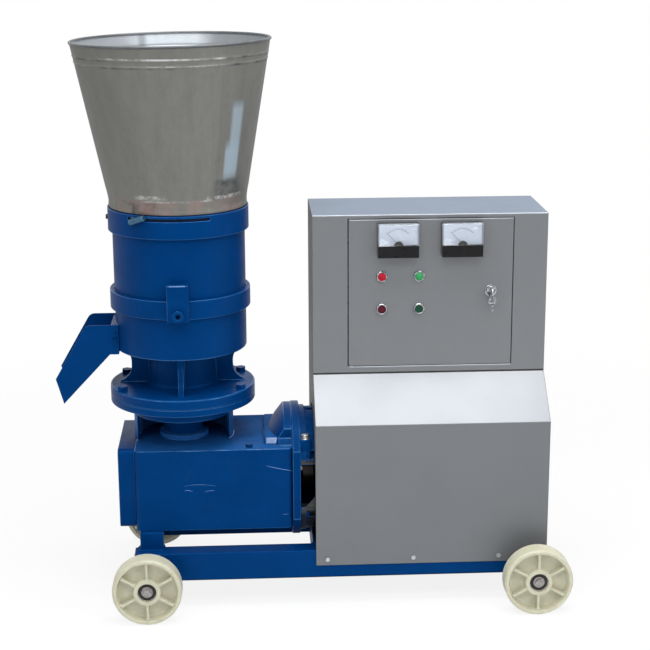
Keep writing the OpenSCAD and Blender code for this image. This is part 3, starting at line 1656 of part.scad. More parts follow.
module lock_cylinder()
{
  color(zinc) along_y(lock_x, box_y - lock_out, lock_z)
    turned([[cam_rod_r + run, 0], [lock_r + cham, 0], [lock_r + 2 * cham, cham],
      [lock_r + 2 * cham, lock_out], [lock_r, lock_out], [lock_r, lock_out + sheet_t + lock_tail],
      [cam_rod_r + run, lock_out + sheet_t + lock_tail]]);
}

// Key, plug and cam turn together
module lock_key()
{
  y0 = box_y - lock_out - gap;
  yc = box_y + sheet_t + lock_tail + gap;
  bow_y = y0 - key_l / 2 - key_bow_r;
  color(zinc)
  {
    along_y(lock_x, y0 - over, lock_z) cylinder(r = cam_rod_r, h = yc - y0 + cam_t + over);
    block([lock_x - cam_w / 2, yc, lock_z - cam_w / 2], [lock_x + cam_w / 2, yc + cam_t, lock_z + cam_l]);
    block([lock_x - key_t / 2, y0 - key_l / 2 - over, lock_z - key_blade_w / 2],
      [lock_x + key_t / 2, y0, lock_z + key_blade_w / 2]);
    difference()
    {
      along_x(lock_x - key_t / 2, bow_y, lock_z) cylinder(r = key_bow_r, h = key_t);
      along_x(lock_x - key_t, bow_y - key_hole_r, lock_z) cylinder(r = key_hole_r, h = 2 * key_t);
    }
  }
}

// Ring through the key's bow, with the second key hanging from it
module spare_key()
{
  y0 = box_y - lock_out - gap - key_l / 2 - key_bow_r - key_hole_r;
  hang = key_hole_r - key_wire - gap;
  zc = lock_z - hang - key_ring_r;
  zh = zc - key_ring_r - hang;
  zk = zh - key_hole_r;
  color(zinc)
  {
    along_y(lock_x, y0, zc) rotate_extrude() translate([key_ring_r, 0]) circle(r = key_wire);
    difference()
    {
      union()
      {
        along_x(lock_x - key_t / 2, y0, zk) cylinder(r = key_bow_r, h = key_t);
        block([lock_x - key_t / 2, y0 - key_blade_w / 2, zk - key_bow_r - 2 * key_l],
          [lock_x + key_t / 2, y0 + key_blade_w / 2, zk]);
      }
      along_x(lock_x - key_t, y0, zh) cylinder(r = key_hole_r, h = 2 * key_t);
    }
  }
}

base_frame();
wheel_axles();
axle_bolts();
gearbox_housing();
gearbox_end_cover();
gearbox_bolts();
ball_bearings();
coupling_housing();
motor_frame();
motor_end_shields();
motor_stator();
fan_cover();
terminal_box();
lower_barrel();
discharge_chute();
upper_barrel();
joint_ring();
axle_pockets();
adjusting_bolts();
hopper_ring();
mill_bolts();
motor_cover();
control_box();
mounting_plate();
contactors();
cable_gland();
cover_screws();
door_hinge_pins();
main_shaft();
crown_gear();
throw_plate();
flat_die();
spindle_nut();
input_shaft();
shaft_coupling();
coupling_spider();
rotor();
cooling_fan();
roller_axle();
front_roller();
rear_roller();
hopper();
hopper_lock_bolt();
panel_door();
meter_cases();
meter_windows();
lamp_bezels();
red_lamp();
green_lamp();
lock_cylinder();
lock_key();
spare_key();
start_button();
stop_button();
voltmeter_needle();
ammeter_needle();
wheel_front_left();
wheel_front_right();
wheel_rear_left();
wheel_rear_right();
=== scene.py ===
"""Looks of an electric flat-die pellet mill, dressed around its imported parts.

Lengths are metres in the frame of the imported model: +Z up, the operator stands
on the -Y side, and the origin lies on the floor under the middle of the machine.
"""

import json
import logging
import math
from dataclasses import dataclass, field, replace
from enum import Enum

import bmesh
import bpy
import numpy as np
from mathutils import Matrix, Vector

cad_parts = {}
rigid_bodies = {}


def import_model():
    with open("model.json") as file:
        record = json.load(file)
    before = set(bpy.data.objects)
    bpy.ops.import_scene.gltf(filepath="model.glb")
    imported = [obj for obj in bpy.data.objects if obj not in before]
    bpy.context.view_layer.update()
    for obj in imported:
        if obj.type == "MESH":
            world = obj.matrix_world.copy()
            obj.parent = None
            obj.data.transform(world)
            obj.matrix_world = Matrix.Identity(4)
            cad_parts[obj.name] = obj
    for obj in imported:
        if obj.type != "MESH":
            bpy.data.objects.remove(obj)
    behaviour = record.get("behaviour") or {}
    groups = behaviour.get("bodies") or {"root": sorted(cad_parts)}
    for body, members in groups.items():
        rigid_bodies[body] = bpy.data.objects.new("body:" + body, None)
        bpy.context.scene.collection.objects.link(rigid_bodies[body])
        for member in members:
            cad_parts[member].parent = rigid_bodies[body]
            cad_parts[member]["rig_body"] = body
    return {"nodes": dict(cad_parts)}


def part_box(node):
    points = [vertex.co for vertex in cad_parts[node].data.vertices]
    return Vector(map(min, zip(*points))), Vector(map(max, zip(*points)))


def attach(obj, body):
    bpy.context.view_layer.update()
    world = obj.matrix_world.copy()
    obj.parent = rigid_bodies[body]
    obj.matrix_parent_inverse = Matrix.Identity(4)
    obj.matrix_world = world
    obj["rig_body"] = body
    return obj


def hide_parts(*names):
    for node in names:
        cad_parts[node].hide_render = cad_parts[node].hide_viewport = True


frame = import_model()
LOG = logging.getLogger("pellet_mill")
MM = 0.001
FAR = 9.0
ROUND = 2 * math.pi
MILL = (-0.322, 0.0)

Colour = tuple[float, float, float]
Place = tuple[float, float, float]
Span = tuple[float, float]
Socket = bpy.types.NodeSocket


class Slot(Enum):
    """Material slots of the record that a piece takes its finish from."""

    BLUE = "blue_enamel"
    GREY = "grey_enamel"
    ZINC = "zinc_steel"
    STEEL = "machined_steel"
    TIN = "tin_sheet"
    BLACK_STEEL = "black_steel"
    BLACK_PLASTIC = "black_plastic"
    CLEAR = "clear_plastic"
    RED = "red_plastic"
    GREEN = "green_plastic"
    NYLON = "nylon"
    CHROME = "chrome_trim"
    COPPER = "copper_winding"
    RUBBER = "spider_rubber"


class Grain(Enum):
    """How the colour of a finish varies over the surface."""

    CLOUDS = "clouds"
    SPANGLE = "spangle"
    TURNED = "turned"


class Axis(Enum):
    """Axis that a turned piece runs along, with its two radial directions."""

    X = ((1, 0, 0), (0, 1, 0), (0, 0, 1))
    Y = ((0, 1, 0), (0, 0, 1), (1, 0, 0))
    Z = ((0, 0, 1), (1, 0, 0), (0, 1, 0))


class Nodes:
    """Short way to add and join the shader nodes of one material."""

    def __init__(self, tree: bpy.types.NodeTree) -> None:
        """Starts from an empty tree.

        Args:
            tree: the node tree that is filled.
        """
        self.tree = tree
        tree.nodes.clear()

    def put(self, node: bpy.types.Node, name: str | int, value: object) -> None:
        """Sets one input to a value, or joins it to an output socket.

        Args:
            node: the node that owns the input.
            name: name or number of the input.
            value: a number, a tuple or an output socket.
        """
        if isinstance(value, Socket):
            self.tree.links.new(value, node.inputs[name])
        else:
            node.inputs[name].default_value = value

    def add(self, kind: str, settings: dict | None = None, numbered: dict | None = None,
            **inputs: object) -> bpy.types.Node:
        """Adds a node and sets or joins its inputs.

        Args:
            kind: the node's type name without "ShaderNode".
            settings: attributes of the node itself.
            numbered: input number to a value or an output socket.
            inputs: input name, with _ for a blank, to a value or an output socket.

        Returns:
            The new node.
        """
        node = self.tree.nodes.new("ShaderNode" + kind)
        for key, value in (settings or {}).items():
            setattr(node, key, value)
        for number, value in (numbered or {}).items():
            self.put(node, number, value)
        for key, value in inputs.items():
            self.put(node, key.replace("_", " "), value)
        return node

    def blend(self, share: object, first: object, second: object) -> Socket:
        """Mixes two colours: the first at share 0, the second at share 1."""
        return self.add("Mix", {"data_type": "RGBA"}, {0: share, 6: first, 7: second}).outputs[2]

    def maths(self, operation: str, *values: object) -> Socket:
        """Adds one arithmetic node on numbers or sockets and gives its result."""
        return self.add("Math", {"operation": operation}, dict(enumerate(values))).outputs[0]

    def noise(self, place: Socket, scale: float, detail: float = 2.0, roughness: float = 0.5) -> Socket:
        """Adds a cloudy pattern and gives its value."""
        node = self.add("TexNoise", Vector=place, Scale=scale, Detail=detail, Roughness=roughness)
        return node.outputs["Fac"]

    def stretched(self, place: Socket, by: Place) -> Socket:
        """Multiplies a place by one number along each axis."""
        return self.add("VectorMath", {"operation": "MULTIPLY"}, {0: place, 1: by}).outputs[0]

    def ramp(self, value: Socket, lo: float, hi: float, to_lo: float = 0.0, to_hi: float = 1.0) -> Socket:
        """Carries a value from the range lo to hi to the range to_lo to to_hi, clamped."""
        node = self.add("MapRange", Value=value, From_Min=lo, From_Max=hi, To_Min=to_lo, To_Max=to_hi)
        return node.outputs[0]

    def shade(self, share: Socket, first: bpy.types.Node, second: bpy.types.Node) -> Socket:
        """Mixes two shaders: the first at share 0, the second at share 1."""
        return self.add("MixShader", None, {0: share, 1: first.outputs[0], 2: second.outputs[0]}).outputs[0]


@dataclass(frozen=True)
class StainOrSheen:
    """Soft-edged mark on a turned piece: a window of azimuth and height.

    The azimuth is atan2(x - cx, cy - y) in degrees, zero at the operator's side
    and positive to the right. The share falls off linearly over the soft edges,
    and above zero, broken is the scale of the noise that breaks the mark up.
    Some marks are stains; others paint highlights, reflections and shade into the colour.
    """

    azimuth: float
    half: float
    low: float
    high: float
    colour: Colour
    amount: float = 0.8
    soft: float = 4.0
    soft_z: float = 0.012
    broken: float = 0.0
    centre: tuple[float, float] = MILL

    def share(self, net: Nodes, place: Socket) -> Socket:
        """Adds the nodes that give the stain's share at a place.

        Args:
            net: nodes of the material.
            place: socket of the object coordinates.

        Returns:
            Socket of the share, 0 to 1.
        """
        xyz = net.add("SeparateXYZ", Vector=place).outputs
        east = net.maths("SUBTRACT", xyz[0], self.centre[0])
        south = net.maths("SUBTRACT", self.centre[1], xyz[1])
        turn = net.maths("SUBTRACT", net.maths("ARCTAN2", east, south), math.radians(self.azimuth))
        half, soft = math.radians(self.half), math.radians(self.soft)
        wide = net.ramp(net.maths("ABSOLUTE", turn), half, half + soft, 1.0, 0.0)
        foot = net.ramp(xyz[2], self.low - self.soft_z, self.low)
        head = net.ramp(xyz[2], self.high, self.high + self.soft_z, 1.0, 0.0)
        above = net.maths("MULTIPLY", wide, foot)
        share = net.maths("MULTIPLY", above, net.maths("MULTIPLY", head, self.amount))
        if self.broken > 0:
            share = net.maths("MULTIPLY", share, net.ramp(net.noise(place, self.broken, 5.0, 0.7), 0.42, 0.6))
        return share


@dataclass(frozen=True)
class Finish:
    """One surface finish of the machine.

    The colour drifts from colour to shade in patches, the roughness follows the
    same patches, and a fine grain raises the surface by depth metres. A casting
    has lumps of cast metres too.
    """

    name: str
    slot: Slot
    colour: Colour
    shade: Colour
    rough: float
    rough_drift: float = 0.05
    metal: float = 0.0
    patch: float = 14.0
    grain: float = 500.0
    depth: float = 0.00004
    cast: float = 0.0
    cast_scale: float = 90.0
    grain_kind: Grain = Grain.CLOUDS
    clear: float = 0.0
    glow: float = 0.0
    under: float = 0.0
    grime: float = 0.0
    ior: float = 1.5
    tint: Colour = (1.0, 1.0, 1.0)
    long: float = 26.0
    spangle: float = 0.42
    stains: tuple[StainOrSheen, ...] = ()

    def like(self, name: str, colour: Colour, shade: Colour, rough: float, **changes: object) -> "Finish":
        """A finish of the same family, with a name, colours and roughness of its own."""
        return replace(self, name=name, colour=colour, shade=shade, rough=rough, **changes)

    def pattern(self, net: Nodes, place: Socket, patches: Socket) -> Socket:
        """Adds the nodes that share the surface out between colour and shade.

        Args:
            net: nodes of the material.
            place: socket of the object coordinates.
            patches: value of the slow patches.

        Returns:
            Socket of the share of the shade.
        """
        if self.grain_kind is Grain.TURNED:
            return net.ramp(net.noise(net.stretched(place, (900.0, 900.0, 60.0)), 1.0, 3.0), 0.3, 0.7)
        if self.grain_kind is Grain.CLOUDS:
            return net.ramp(patches, 0.35, 0.68)
        bent = net.add("TexNoise", Vector=place, Scale=35.0, Detail=2.0).outputs["Color"]
        moved = net.add("Mix", {"data_type": "VECTOR"}, {0: 0.03, 4: place, 5: bent}).outputs[1]
        cells = net.add("TexVoronoi", Vector=moved, Scale=75.0).outputs["Color"]
        tone = net.add("SeparateColor", Color=cells).outputs[0]
        smear = net.noise(net.stretched(place, (self.long, self.long, 3.0)), 1.0, 6.0, 0.7)
        return net.maths("MULTIPLY_ADD", tone, self.spangle, net.ramp(smear, 0.3, 0.7, 0.0, 0.6))

    def material(self) -> bpy.types.Material:
        """Builds the finish once and hands it out again later.

        Returns:
            The material of this finish.
        """
        found = bpy.data.materials.get(self.name)
        if found is not None:
            return found
        made = bpy.data.materials.new(self.name)
        made.use_nodes = True
        first, second = (*self.colour, 1.0), (*self.shade, 1.0)
        made.diffuse_color = first
        net = Nodes(made.node_tree)
        place = net.add("TexCoord").outputs["Object"]
        patches = net.noise(place, self.patch, 5.0, 0.62)
        colour = net.blend(self.pattern(net, place, patches), first, second)
        if self.grime > 0:
            dark = [tone * 0.45 + dust for tone, dust in zip(self.shade, (0.02, 0.018, 0.014))]
            dirt = net.ramp(net.noise(place, 34.0, 8.0, 0.7), 0.56, 0.78, 0.0, self.grime)
            colour = net.blend(dirt, colour, (*dark, 1.0))
        # Marks blend in stains and painted highlights, reflections and shade.
        for stain in self.stains:
            colour = net.blend(stain.share(net, place), colour, (*stain.colour, 1.0))
        rough = net.ramp(patches, 0.3, 0.7, self.rough - self.rough_drift, self.rough + self.rough_drift)
        bump = net.add("Bump", Strength=1.0, Distance=self.depth, Height=net.noise(place, self.grain))
        if self.cast > 0:
            lumps = net.noise(place, self.cast_scale, 3.0, 0.55)
            bump = net.add("Bump", Strength=1.0, Distance=self.cast, Height=lumps, Normal=bump.outputs[0])
        shader = net.add("BsdfPrincipled", Base_Color=colour, Roughness=rough, Normal=bump.outputs[0],
                         Metallic=self.metal, Transmission_Weight=self.clear, Subsurface_Weight=self.under,
                         Subsurface_Scale=0.004, IOR=self.ior, Specular_Tint=(*self.tint, 1.0))
        if self.glow > 0:
            net.put(shader, "Emission Color", first)
            net.put(shader, "Emission Strength", self.glow)
        net.add("OutputMaterial", Surface=shader.outputs[0])
        return made


BLUE_CAST = Finish("blue_casting", Slot.BLUE, (0.0, 0.035, 0.152), (0.0, 0.028, 0.125), 0.38, 0.06,
                   patch=9.0, grain=420.0, depth=0.00005, cast=0.0006, cast_scale=95.0, grime=0.25,
                   ior=1.24, tint=(0.1, 0.42, 1.0))
# Lighter blue for upward faces of the castings: painted light.
BLUE_TOP_LIT = BLUE_CAST.like("blue_top_painted_light", (0.012, 0.085, 0.275), (0.006, 0.06, 0.21), 0.55, patch=12.0, ior=1.08)
# Lighter blue for the lantern's shaded inside: painted fill light.
BLUE_INSIDE_LIT = BLUE_CAST.like("blue_inside_painted_fill_light", (0.02, 0.12, 0.38), (0.014, 0.1, 0.33), 0.5, grime=0.0)
BLUE_SHEET = BLUE_CAST.like("blue_sheet", (0.0, 0.035, 0.155), (0.0, 0.029, 0.13), 0.32, rough_drift=0.05,
                            patch=7.0, grain=380.0, depth=0.00004, cast=0.0002, cast_scale=40.0, grime=0.12,
                            ior=1.28)
# Lighter, shinier blue for the rounded edges of castings: wear and a painted highlight.
BLUE_EDGE_WORN_AND_LIT = Finish("blue_edge_wear_and_painted_highlight", Slot.BLUE, (0.006, 0.075, 0.24), (0.0, 0.04, 0.17), 0.24, 0.06, patch=60.0,
                   grain=900.0, depth=0.00002, ior=1.6, tint=(0.35, 0.65, 1.0))
# Pale blue for the pad's front chamfer: worn paint and a painted highlight.
WORN_AND_LIT_EDGE = Finish("worn_casting_edge_and_painted_highlight", Slot.BLUE, (0.3, 0.38, 0.56), (0.12, 0.2, 0.4), 0.35, 0.06,
                   patch=45.0, grain=900.0, depth=0.00002)
# Light blue for scratches and worn edges, also painting a highlight along the gearbox's top edge.
WORN_AND_LIT_BLUE = WORN_AND_LIT_EDGE.like("worn_blue_paint_and_painted_highlight", (0.12, 0.25, 0.5), (0.05, 0.14, 0.36), 0.35, patch=70.0)
GREY_SHEET = Finish("silver_grey_sheet", Slot.GREY, (0.191, 0.2, 0.212), (0.177, 0.186, 0.198), 0.3, 0.03,
                    metal=0.4, patch=3.0, grain=900.0, depth=0.00002)
# Darker grey for the motor cover than for the box: painted shade.
GREY_COVER_SHADED = GREY_SHEET.like("silver_grey_cover_painted_shade", (0.16, 0.169, 0.18), (0.148, 0.157, 0.168), 0.5)
# Lighter grey for the slope: a painted reflection of the sky.
GREY_SLOPE_SKY_SHEEN = GREY_SHEET.like("silver_grey_slope_painted_sky_reflection", (0.222, 0.232, 0.25), (0.206, 0.216, 0.234), 0.34)
# Bluer grey for the box's top: a painted reflection of the sky.
GREY_TOP_SKY_SHEEN = GREY_SHEET.like("silver_grey_top_painted_sky_reflection", (0.164, 0.206, 0.27), (0.151, 0.191, 0.252), 0.48)
# Darker grey with less sheen for the left side: painted shade.
GREY_SIDE_SHADED = GREY_SHEET.like("silver_grey_side_painted_shade", (0.15, 0.15, 0.135), (0.135, 0.135, 0.12), 0.5, metal=0.0,
                            ior=1.2)
# Light grey for the rods along the bends: a painted highlight.
GREY_BEND_HIGHLIGHT = GREY_SHEET.like("silver_grey_bend_painted_highlight", (0.4, 0.43, 0.47), (0.33, 0.36, 0.4), 0.32, metal=0.3,
                            patch=40.0, depth=0.00001)
SKY_GLARE, BEAD_SHADE = (0.31, 0.39, 0.45), (0.03, 0.034, 0.04)
# Marks on the hopper's outer sheet: two vertical bars of sky glare as a painted reflection of a lamp, a dark
# patch below them, light bands on the beads as painted highlights with dark dashes as painted shade, a light
# band and spots low on the cone as painted highlights, grease and painted shade around the handle, a rust
# band, and painted shadow just under the ring's top.
SHEET_STAINS_AND_SHEEN = (
    StainOrSheen(47.5, 3.4, 1.098, 1.238, SKY_GLARE, 0.8, 3.0, 0.025),
    StainOrSheen(45.5, 5.5, 1.09, 1.14, SKY_GLARE, 0.8, 2.0, 0.03),
    StainOrSheen(47.0, 12.0, 1.032, 1.066, (0.03, 0.038, 0.045), 0.85, 6.0, 0.01, 12.0),
    StainOrSheen(-2.0, 34.0, 1.3585, 1.3615, (0.5, 0.52, 0.52), 0.8, 10.0, 0.001, 18.0),
    StainOrSheen(-64.0, 22.0, 1.3535, 1.358, BEAD_SHADE, 0.8, 8.0, 0.001, 22.0),
    StainOrSheen(60.0, 20.0, 1.3585, 1.363, BEAD_SHADE, 0.8, 8.0, 0.001, 22.0),
    StainOrSheen(-30.0, 34.0, 1.338, 1.3415, BEAD_SHADE, 0.7, 8.0, 0.001, 26.0),
    StainOrSheen(10.0, 22.0, 1.343, 1.3455, (0.45, 0.47, 0.47), 0.6, 8.0, 0.001, 26.0),
    StainOrSheen(60.0, 20.0, 1.342, 1.3465, BEAD_SHADE, 0.8, 8.0, 0.001, 22.0),
    StainOrSheen(2.0, 27.0, 1.0235, 1.0255, (0.42, 0.43, 0.43), 0.8, 5.0, 0.002, 30.0),
    StainOrSheen(-20.0, 10.0, 1.031, 1.037, (0.5, 0.5, 0.48), 0.65, 5.0, 0.004, 70.0),
    StainOrSheen(44.0, 16.0, 1.027, 1.033, (0.55, 0.56, 0.56), 0.7, 5.0, 0.003, 70.0),
    StainOrSheen(-30.0, 12.0, 0.99, 1.018, (0.04, 0.036, 0.033), 0.85, 8.0, 0.008, 35.0),
    StainOrSheen(8.0, 60.0, 0.99, 1.02, (0.26, 0.17, 0.15), 0.6, 10.0, 0.01, 24.0),
    StainOrSheen(-5.0, 38.0, 0.973, 0.987, (0.008, 0.01, 0.014), 1.0, 1.0, 0.001))
# Darker patches and a thin dark line high on the hopper's inner wall.
INSIDE_DARK_MARKS = (
    StainOrSheen(130.0, 26.0, 1.365, 1.42, (0.13, 0.135, 0.145), 0.7, 12.0, 0.05),
    StainOrSheen(-124.0, 22.0, 1.365, 1.42, (0.17, 0.18, 0.195), 0.6, 18.0, 0.05),
    StainOrSheen(-158.0, 1.0, 1.33, 1.42, (0.09, 0.1, 0.11), 0.5, 2.5, 0.04))
TIN_SHEET = Finish("galvanised_sheet", Slot.TIN, (0.13, 0.132, 0.12), (0.182, 0.183, 0.17), 0.44, 0.06,
                   metal=0.35, patch=16.0, grain=260.0, depth=0.00004, cast=0.0003, cast_scale=22.0,
                   grain_kind=Grain.SPANGLE, grime=0.2, spangle=0.16, long=34.0, stains=SHEET_STAINS_AND_SHEEN)
# Inner face of the same sheet, about three times lighter than the outer face: painted light.
TIN_INSIDE_LIT = TIN_SHEET.like("galvanised_inside_painted_light", (0.42, 0.455, 0.485), (0.5, 0.535, 0.565), 0.44, metal=0.3,
                            patch=10.0, grime=0.12, spangle=0.2, long=20.0, stains=INSIDE_DARK_MARKS)
TIN_RIM = Finish("galvanised_rim", Slot.TIN, (0.07, 0.078, 0.084), (0.11, 0.118, 0.124), 0.4, 0.06, metal=0.4,
                 patch=30.0, grain=260.0, depth=0.00003)
# Dark blue for the collar below the ring's top, seen through the ring's slot: painted shadow.
TIN_SEAT_SHADOW = Finish("galvanised_seat_painted_shadow", Slot.TIN, (0.002, 0.008, 0.028), (0.004, 0.012, 0.035), 0.6,
                  0.06, patch=40.0, ior=1.15)
ZINC = Finish("zinc_plated_steel", Slot.ZINC, (0.62, 0.62, 0.6), (0.45, 0.45, 0.44), 0.3, 0.08, metal=1.0,
              patch=60.0, grain=1500.0, depth=0.00002, grime=0.2)
DARK_ZINC = ZINC.like("blued_zinc", (0.06, 0.16, 0.25), (0.03, 0.08, 0.14), 0.32, metal=0.7, grime=0.3)
BRIGHT_ZINC = ZINC.like("bright_zinc", (0.5, 0.53, 0.57), (0.36, 0.39, 0.43), 0.3, rough_drift=0.05,
                        metal=0.6, patch=200.0, depth=0.00001, grime=0.0)
DULL_STEEL = ZINC.like("dull_steel", (0.2, 0.19, 0.185), (0.42, 0.41, 0.4), 0.36, metal=0.9, patch=160.0,
                       grime=0.4)
STEEL = Finish("machined_steel_face", Slot.STEEL, (0.5, 0.5, 0.5), (0.38, 0.38, 0.38), 0.28, 0.08, metal=1.0,
               patch=30.0, depth=0.00001, grain_kind=Grain.TURNED, grime=0.25)
OILED = Finish("oiled_dark_steel", Slot.STEEL, (0.03, 0.028, 0.026), (0.05, 0.045, 0.04), 0.4, 0.08,
               metal=0.6, patch=40.0, depth=0.00002, grime=0.4)
BLACK_PAINT = Finish("black_painted_steel", Slot.BLACK_STEEL, (0.02, 0.021, 0.024), (0.012, 0.012, 0.014),
                     0.38, 0.08, patch=30.0, grain=600.0, depth=0.00005, grime=0.2)
BLACK_MOULD = Finish("black_moulding", Slot.BLACK_PLASTIC, (0.006, 0.006, 0.007), (0.01, 0.01, 0.011), 0.3,
                     0.04, patch=40.0, grain=1200.0, depth=0.00001, ior=1.3)
GREY_MOULD = Finish("dark_grey_moulding", Slot.BLACK_PLASTIC, (0.05, 0.052, 0.055), (0.035, 0.036, 0.04),
                    0.45, 0.06, patch=50.0, grain=900.0, depth=0.00003)
SEAL_RUBBER = Finish("seal_rubber", Slot.BLACK_PLASTIC, (0.007, 0.006, 0.005), (0.014, 0.012, 0.01), 0.5,
                     0.08, patch=120.0, grain=2000.0, depth=0.00003)
CLEAR_COVER = Finish("clear_cover", Slot.CLEAR, (0.96, 0.98, 1.0), (0.93, 0.96, 0.98), 0.05, 0.01, clear=1.0,
                     grain=300.0, depth=0.000002, ior=1.49)
DIAL_WHITE = Finish("white_dial", Slot.NYLON, (0.72, 0.77, 0.86), (0.66, 0.71, 0.82), 0.45, 0.03, patch=90.0)
DIAL_BLACK = Finish("dial_print", Slot.BLACK_PLASTIC, (0.12, 0.13, 0.16), (0.2, 0.21, 0.25), 0.5, 0.03)
NYLON = Finish("cream_nylon", Slot.NYLON, (0.55, 0.54, 0.41), (0.48, 0.47, 0.35), 0.42, 0.06, under=0.12,
               patch=30.0, grain=700.0, depth=0.00004, grime=0.22)
CHROME = Finish("chrome_plating", Slot.CHROME, (0.62, 0.63, 0.65), (0.12, 0.14, 0.16), 0.12, 0.04, metal=1.0,
                patch=170.0, depth=0.000005)
RED_LENS = Finish("red_lens", Slot.RED, (0.42, 0.002, 0.02), (0.34, 0.002, 0.015), 0.2, 0.03, glow=0.03,
                  ior=1.3)
GREEN_LENS = RED_LENS.like("green_lens", (0.03, 0.28, 0.09), (0.022, 0.22, 0.07), 0.2, slot=Slot.GREEN)
RED_BUTTON = Finish("red_button", Slot.RED, (0.085, 0.003, 0.012), (0.05, 0.002, 0.008), 0.3, 0.04, ior=1.3)
GREEN_BUTTON = RED_BUTTON.like("green_button", (0.004, 0.065, 0.035), (0.003, 0.045, 0.022), 0.3,
                               slot=Slot.GREEN)
SPIDER = Finish("coupling_rubber", Slot.RUBBER, (0.45, 0.03, 0.03), (0.36, 0.025, 0.025), 0.6)
COPPER = Finish("varnished_windings", Slot.COPPER, (0.5, 0.2, 0.08), (0.36, 0.13, 0.05), 0.35, 0.08,
                metal=0.7, patch=120.0, grain=900.0, depth=0.0002)
# Castings' rounded edges take a lighter finish, as wear and a painted highlight.
EDGE_OF = {BLUE_CAST.name: BLUE_EDGE_WORN_AND_LIT}


def box_of(node: str) -> tuple[np.ndarray, np.ndarray]:
    """Lowest and highest corner of a CAD node."""
    lo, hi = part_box(node)
    return np.array(lo), np.array(hi)


def outline(points: np.ndarray, radii: np.ndarray | float, steps: int = 4) -> np.ndarray:
    """Rounds the corners of a closed outline.

    A corner p with unit directions a and b to its neighbours, meeting at the
    angle t, gets the arc of radius r that touches both sides at r / tan(t / 2)
    from p. Points on the arc are the spherical mean of its two end radii.

    Args:
        points: corners, n rows of two lengths.
        radii: one radius, or one for each corner.
        steps: pieces of each arc.

    Returns:
        Points of the rounded outline, two lengths a row.
    """
    p = np.asarray(points, float)
    r = np.broadcast_to(np.asarray(radii, float), (len(p),)).copy()
    before, after = np.roll(p, 1, 0) - p, np.roll(p, -1, 0) - p
    la, lb = np.linalg.norm(before, axis=1), np.linalg.norm(after, axis=1)
    a, b = before / np.maximum(la, 1e-9)[:, None], after / np.maximum(lb, 1e-9)[:, None]
    turn = np.arccos(np.clip((a * b).sum(1), -1, 1))
    flat = (math.pi - turn) < 1e-3
    r[flat] = 0
    half = np.tan(np.where(flat, 1.0, turn / 2))
    reach = np.minimum(r / half, 0.49 * np.minimum(la, lb))
    r = reach * half
    mid = a + b
    mid /= np.maximum(np.linalg.norm(mid, axis=1), 1e-9)[:, None]
    centre = p + mid * (r / np.sin(np.where(flat, 1.0, turn / 2)))[:, None]
    v0, v1 = p + a * reach[:, None] - centre, p + b * reach[:, None] - centre
    swing = np.where(flat, 1.0, math.pi - turn)[:, None, None]
    t = np.linspace(0, 1, steps + 1)[None, :, None]
    sweep = (np.sin((1 - t) * swing) * v0[:, None] + np.sin(t * swing) * v1[:, None]) / np.sin(swing)
    pts = (centre[:, None] + sweep).reshape(-1, 2)
    keep = np.r_[True, np.linalg.norm(np.diff(pts, axis=0), axis=1) > 1e-7]
    return pts[keep]


def block(a0: float, a1: float, b0: float, b1: float, radius: float, steps: int = 4) -> np.ndarray:
    """Outline of a rounded rectangle from a0 to a1 by b0 to b1."""
    return outline(np.array([(a0, b0), (a1, b0), (a1, b1), (a0, b1)]), radius, steps)


def revolve(profile: np.ndarray, centre: Place, axis: Axis, steps: int = 96,
            start: float = 0.0, sweep: float = ROUND) -> np.ndarray:
    """Turns a profile about an axis.

    Point (s, r) of the profile goes to centre + s * along + r * (cos u * side +
    sin u * other), with u from start to start + sweep.

    Args:
        profile: rows of a place along the axis and a radius.
        centre: a point on the axis.
        axis: the axis.
        steps: points round the axis.
        start: first angle.
        sweep: angle that is swept.

    Returns:
        Points as a grid, steps by profile by three.
    """
    along, side, other = np.array(axis.value, float)
    u = start + np.linspace(0, sweep, steps, endpoint=sweep < ROUND)
    ring = np.cos(u)[:, None] * side + np.sin(u)[:, None] * other
    return np.asarray(centre) + profile[None, :, :1] * along + profile[None, :, 1:] * ring[:, None, :]


def extrude(profile: np.ndarray, axis: Axis, lo: float, hi: float, ends: float = 0.0) -> np.ndarray:
    """Carries an outline along an axis.

    Point (a, b) goes to t * along + a * side + b * other, for t at lo and hi.
    With ends, the outline shrinks by that length towards its middle at both
    ends, over the same length of travel, as a rounded edge does.

    Args:
        profile: outline as rows of two lengths, in the axis's side and other.
        axis: direction of travel.
        lo: first place.
        hi: last place.
        ends: size of the rounding at both ends.

    Returns:
        Points as a grid, places by outline by three.
    """
    along, side, other = np.array(axis.value, float)
    centre = profile.mean(0)
    size = np.maximum(np.abs(profile - centre).max(0), 1e-9)
    a = np.linspace(0, math.pi / 2, 4) if ends > 0 else np.array([math.pi / 2])
    inset = ends * (1 - np.sin(a))
    place = np.r_[lo + ends * (1 - np.cos(a)), hi - ends * (1 - np.cos(a[::-1]))]
    inset = np.r_[inset, inset[::-1]]
    scale = 1 - inset[:, None] / size[None, :]
    rows = centre + (profile - centre)[None] * scale[:, None, :]
    return place[:, None, None] * along + rows[..., :1] * side + rows[..., 1:] * other


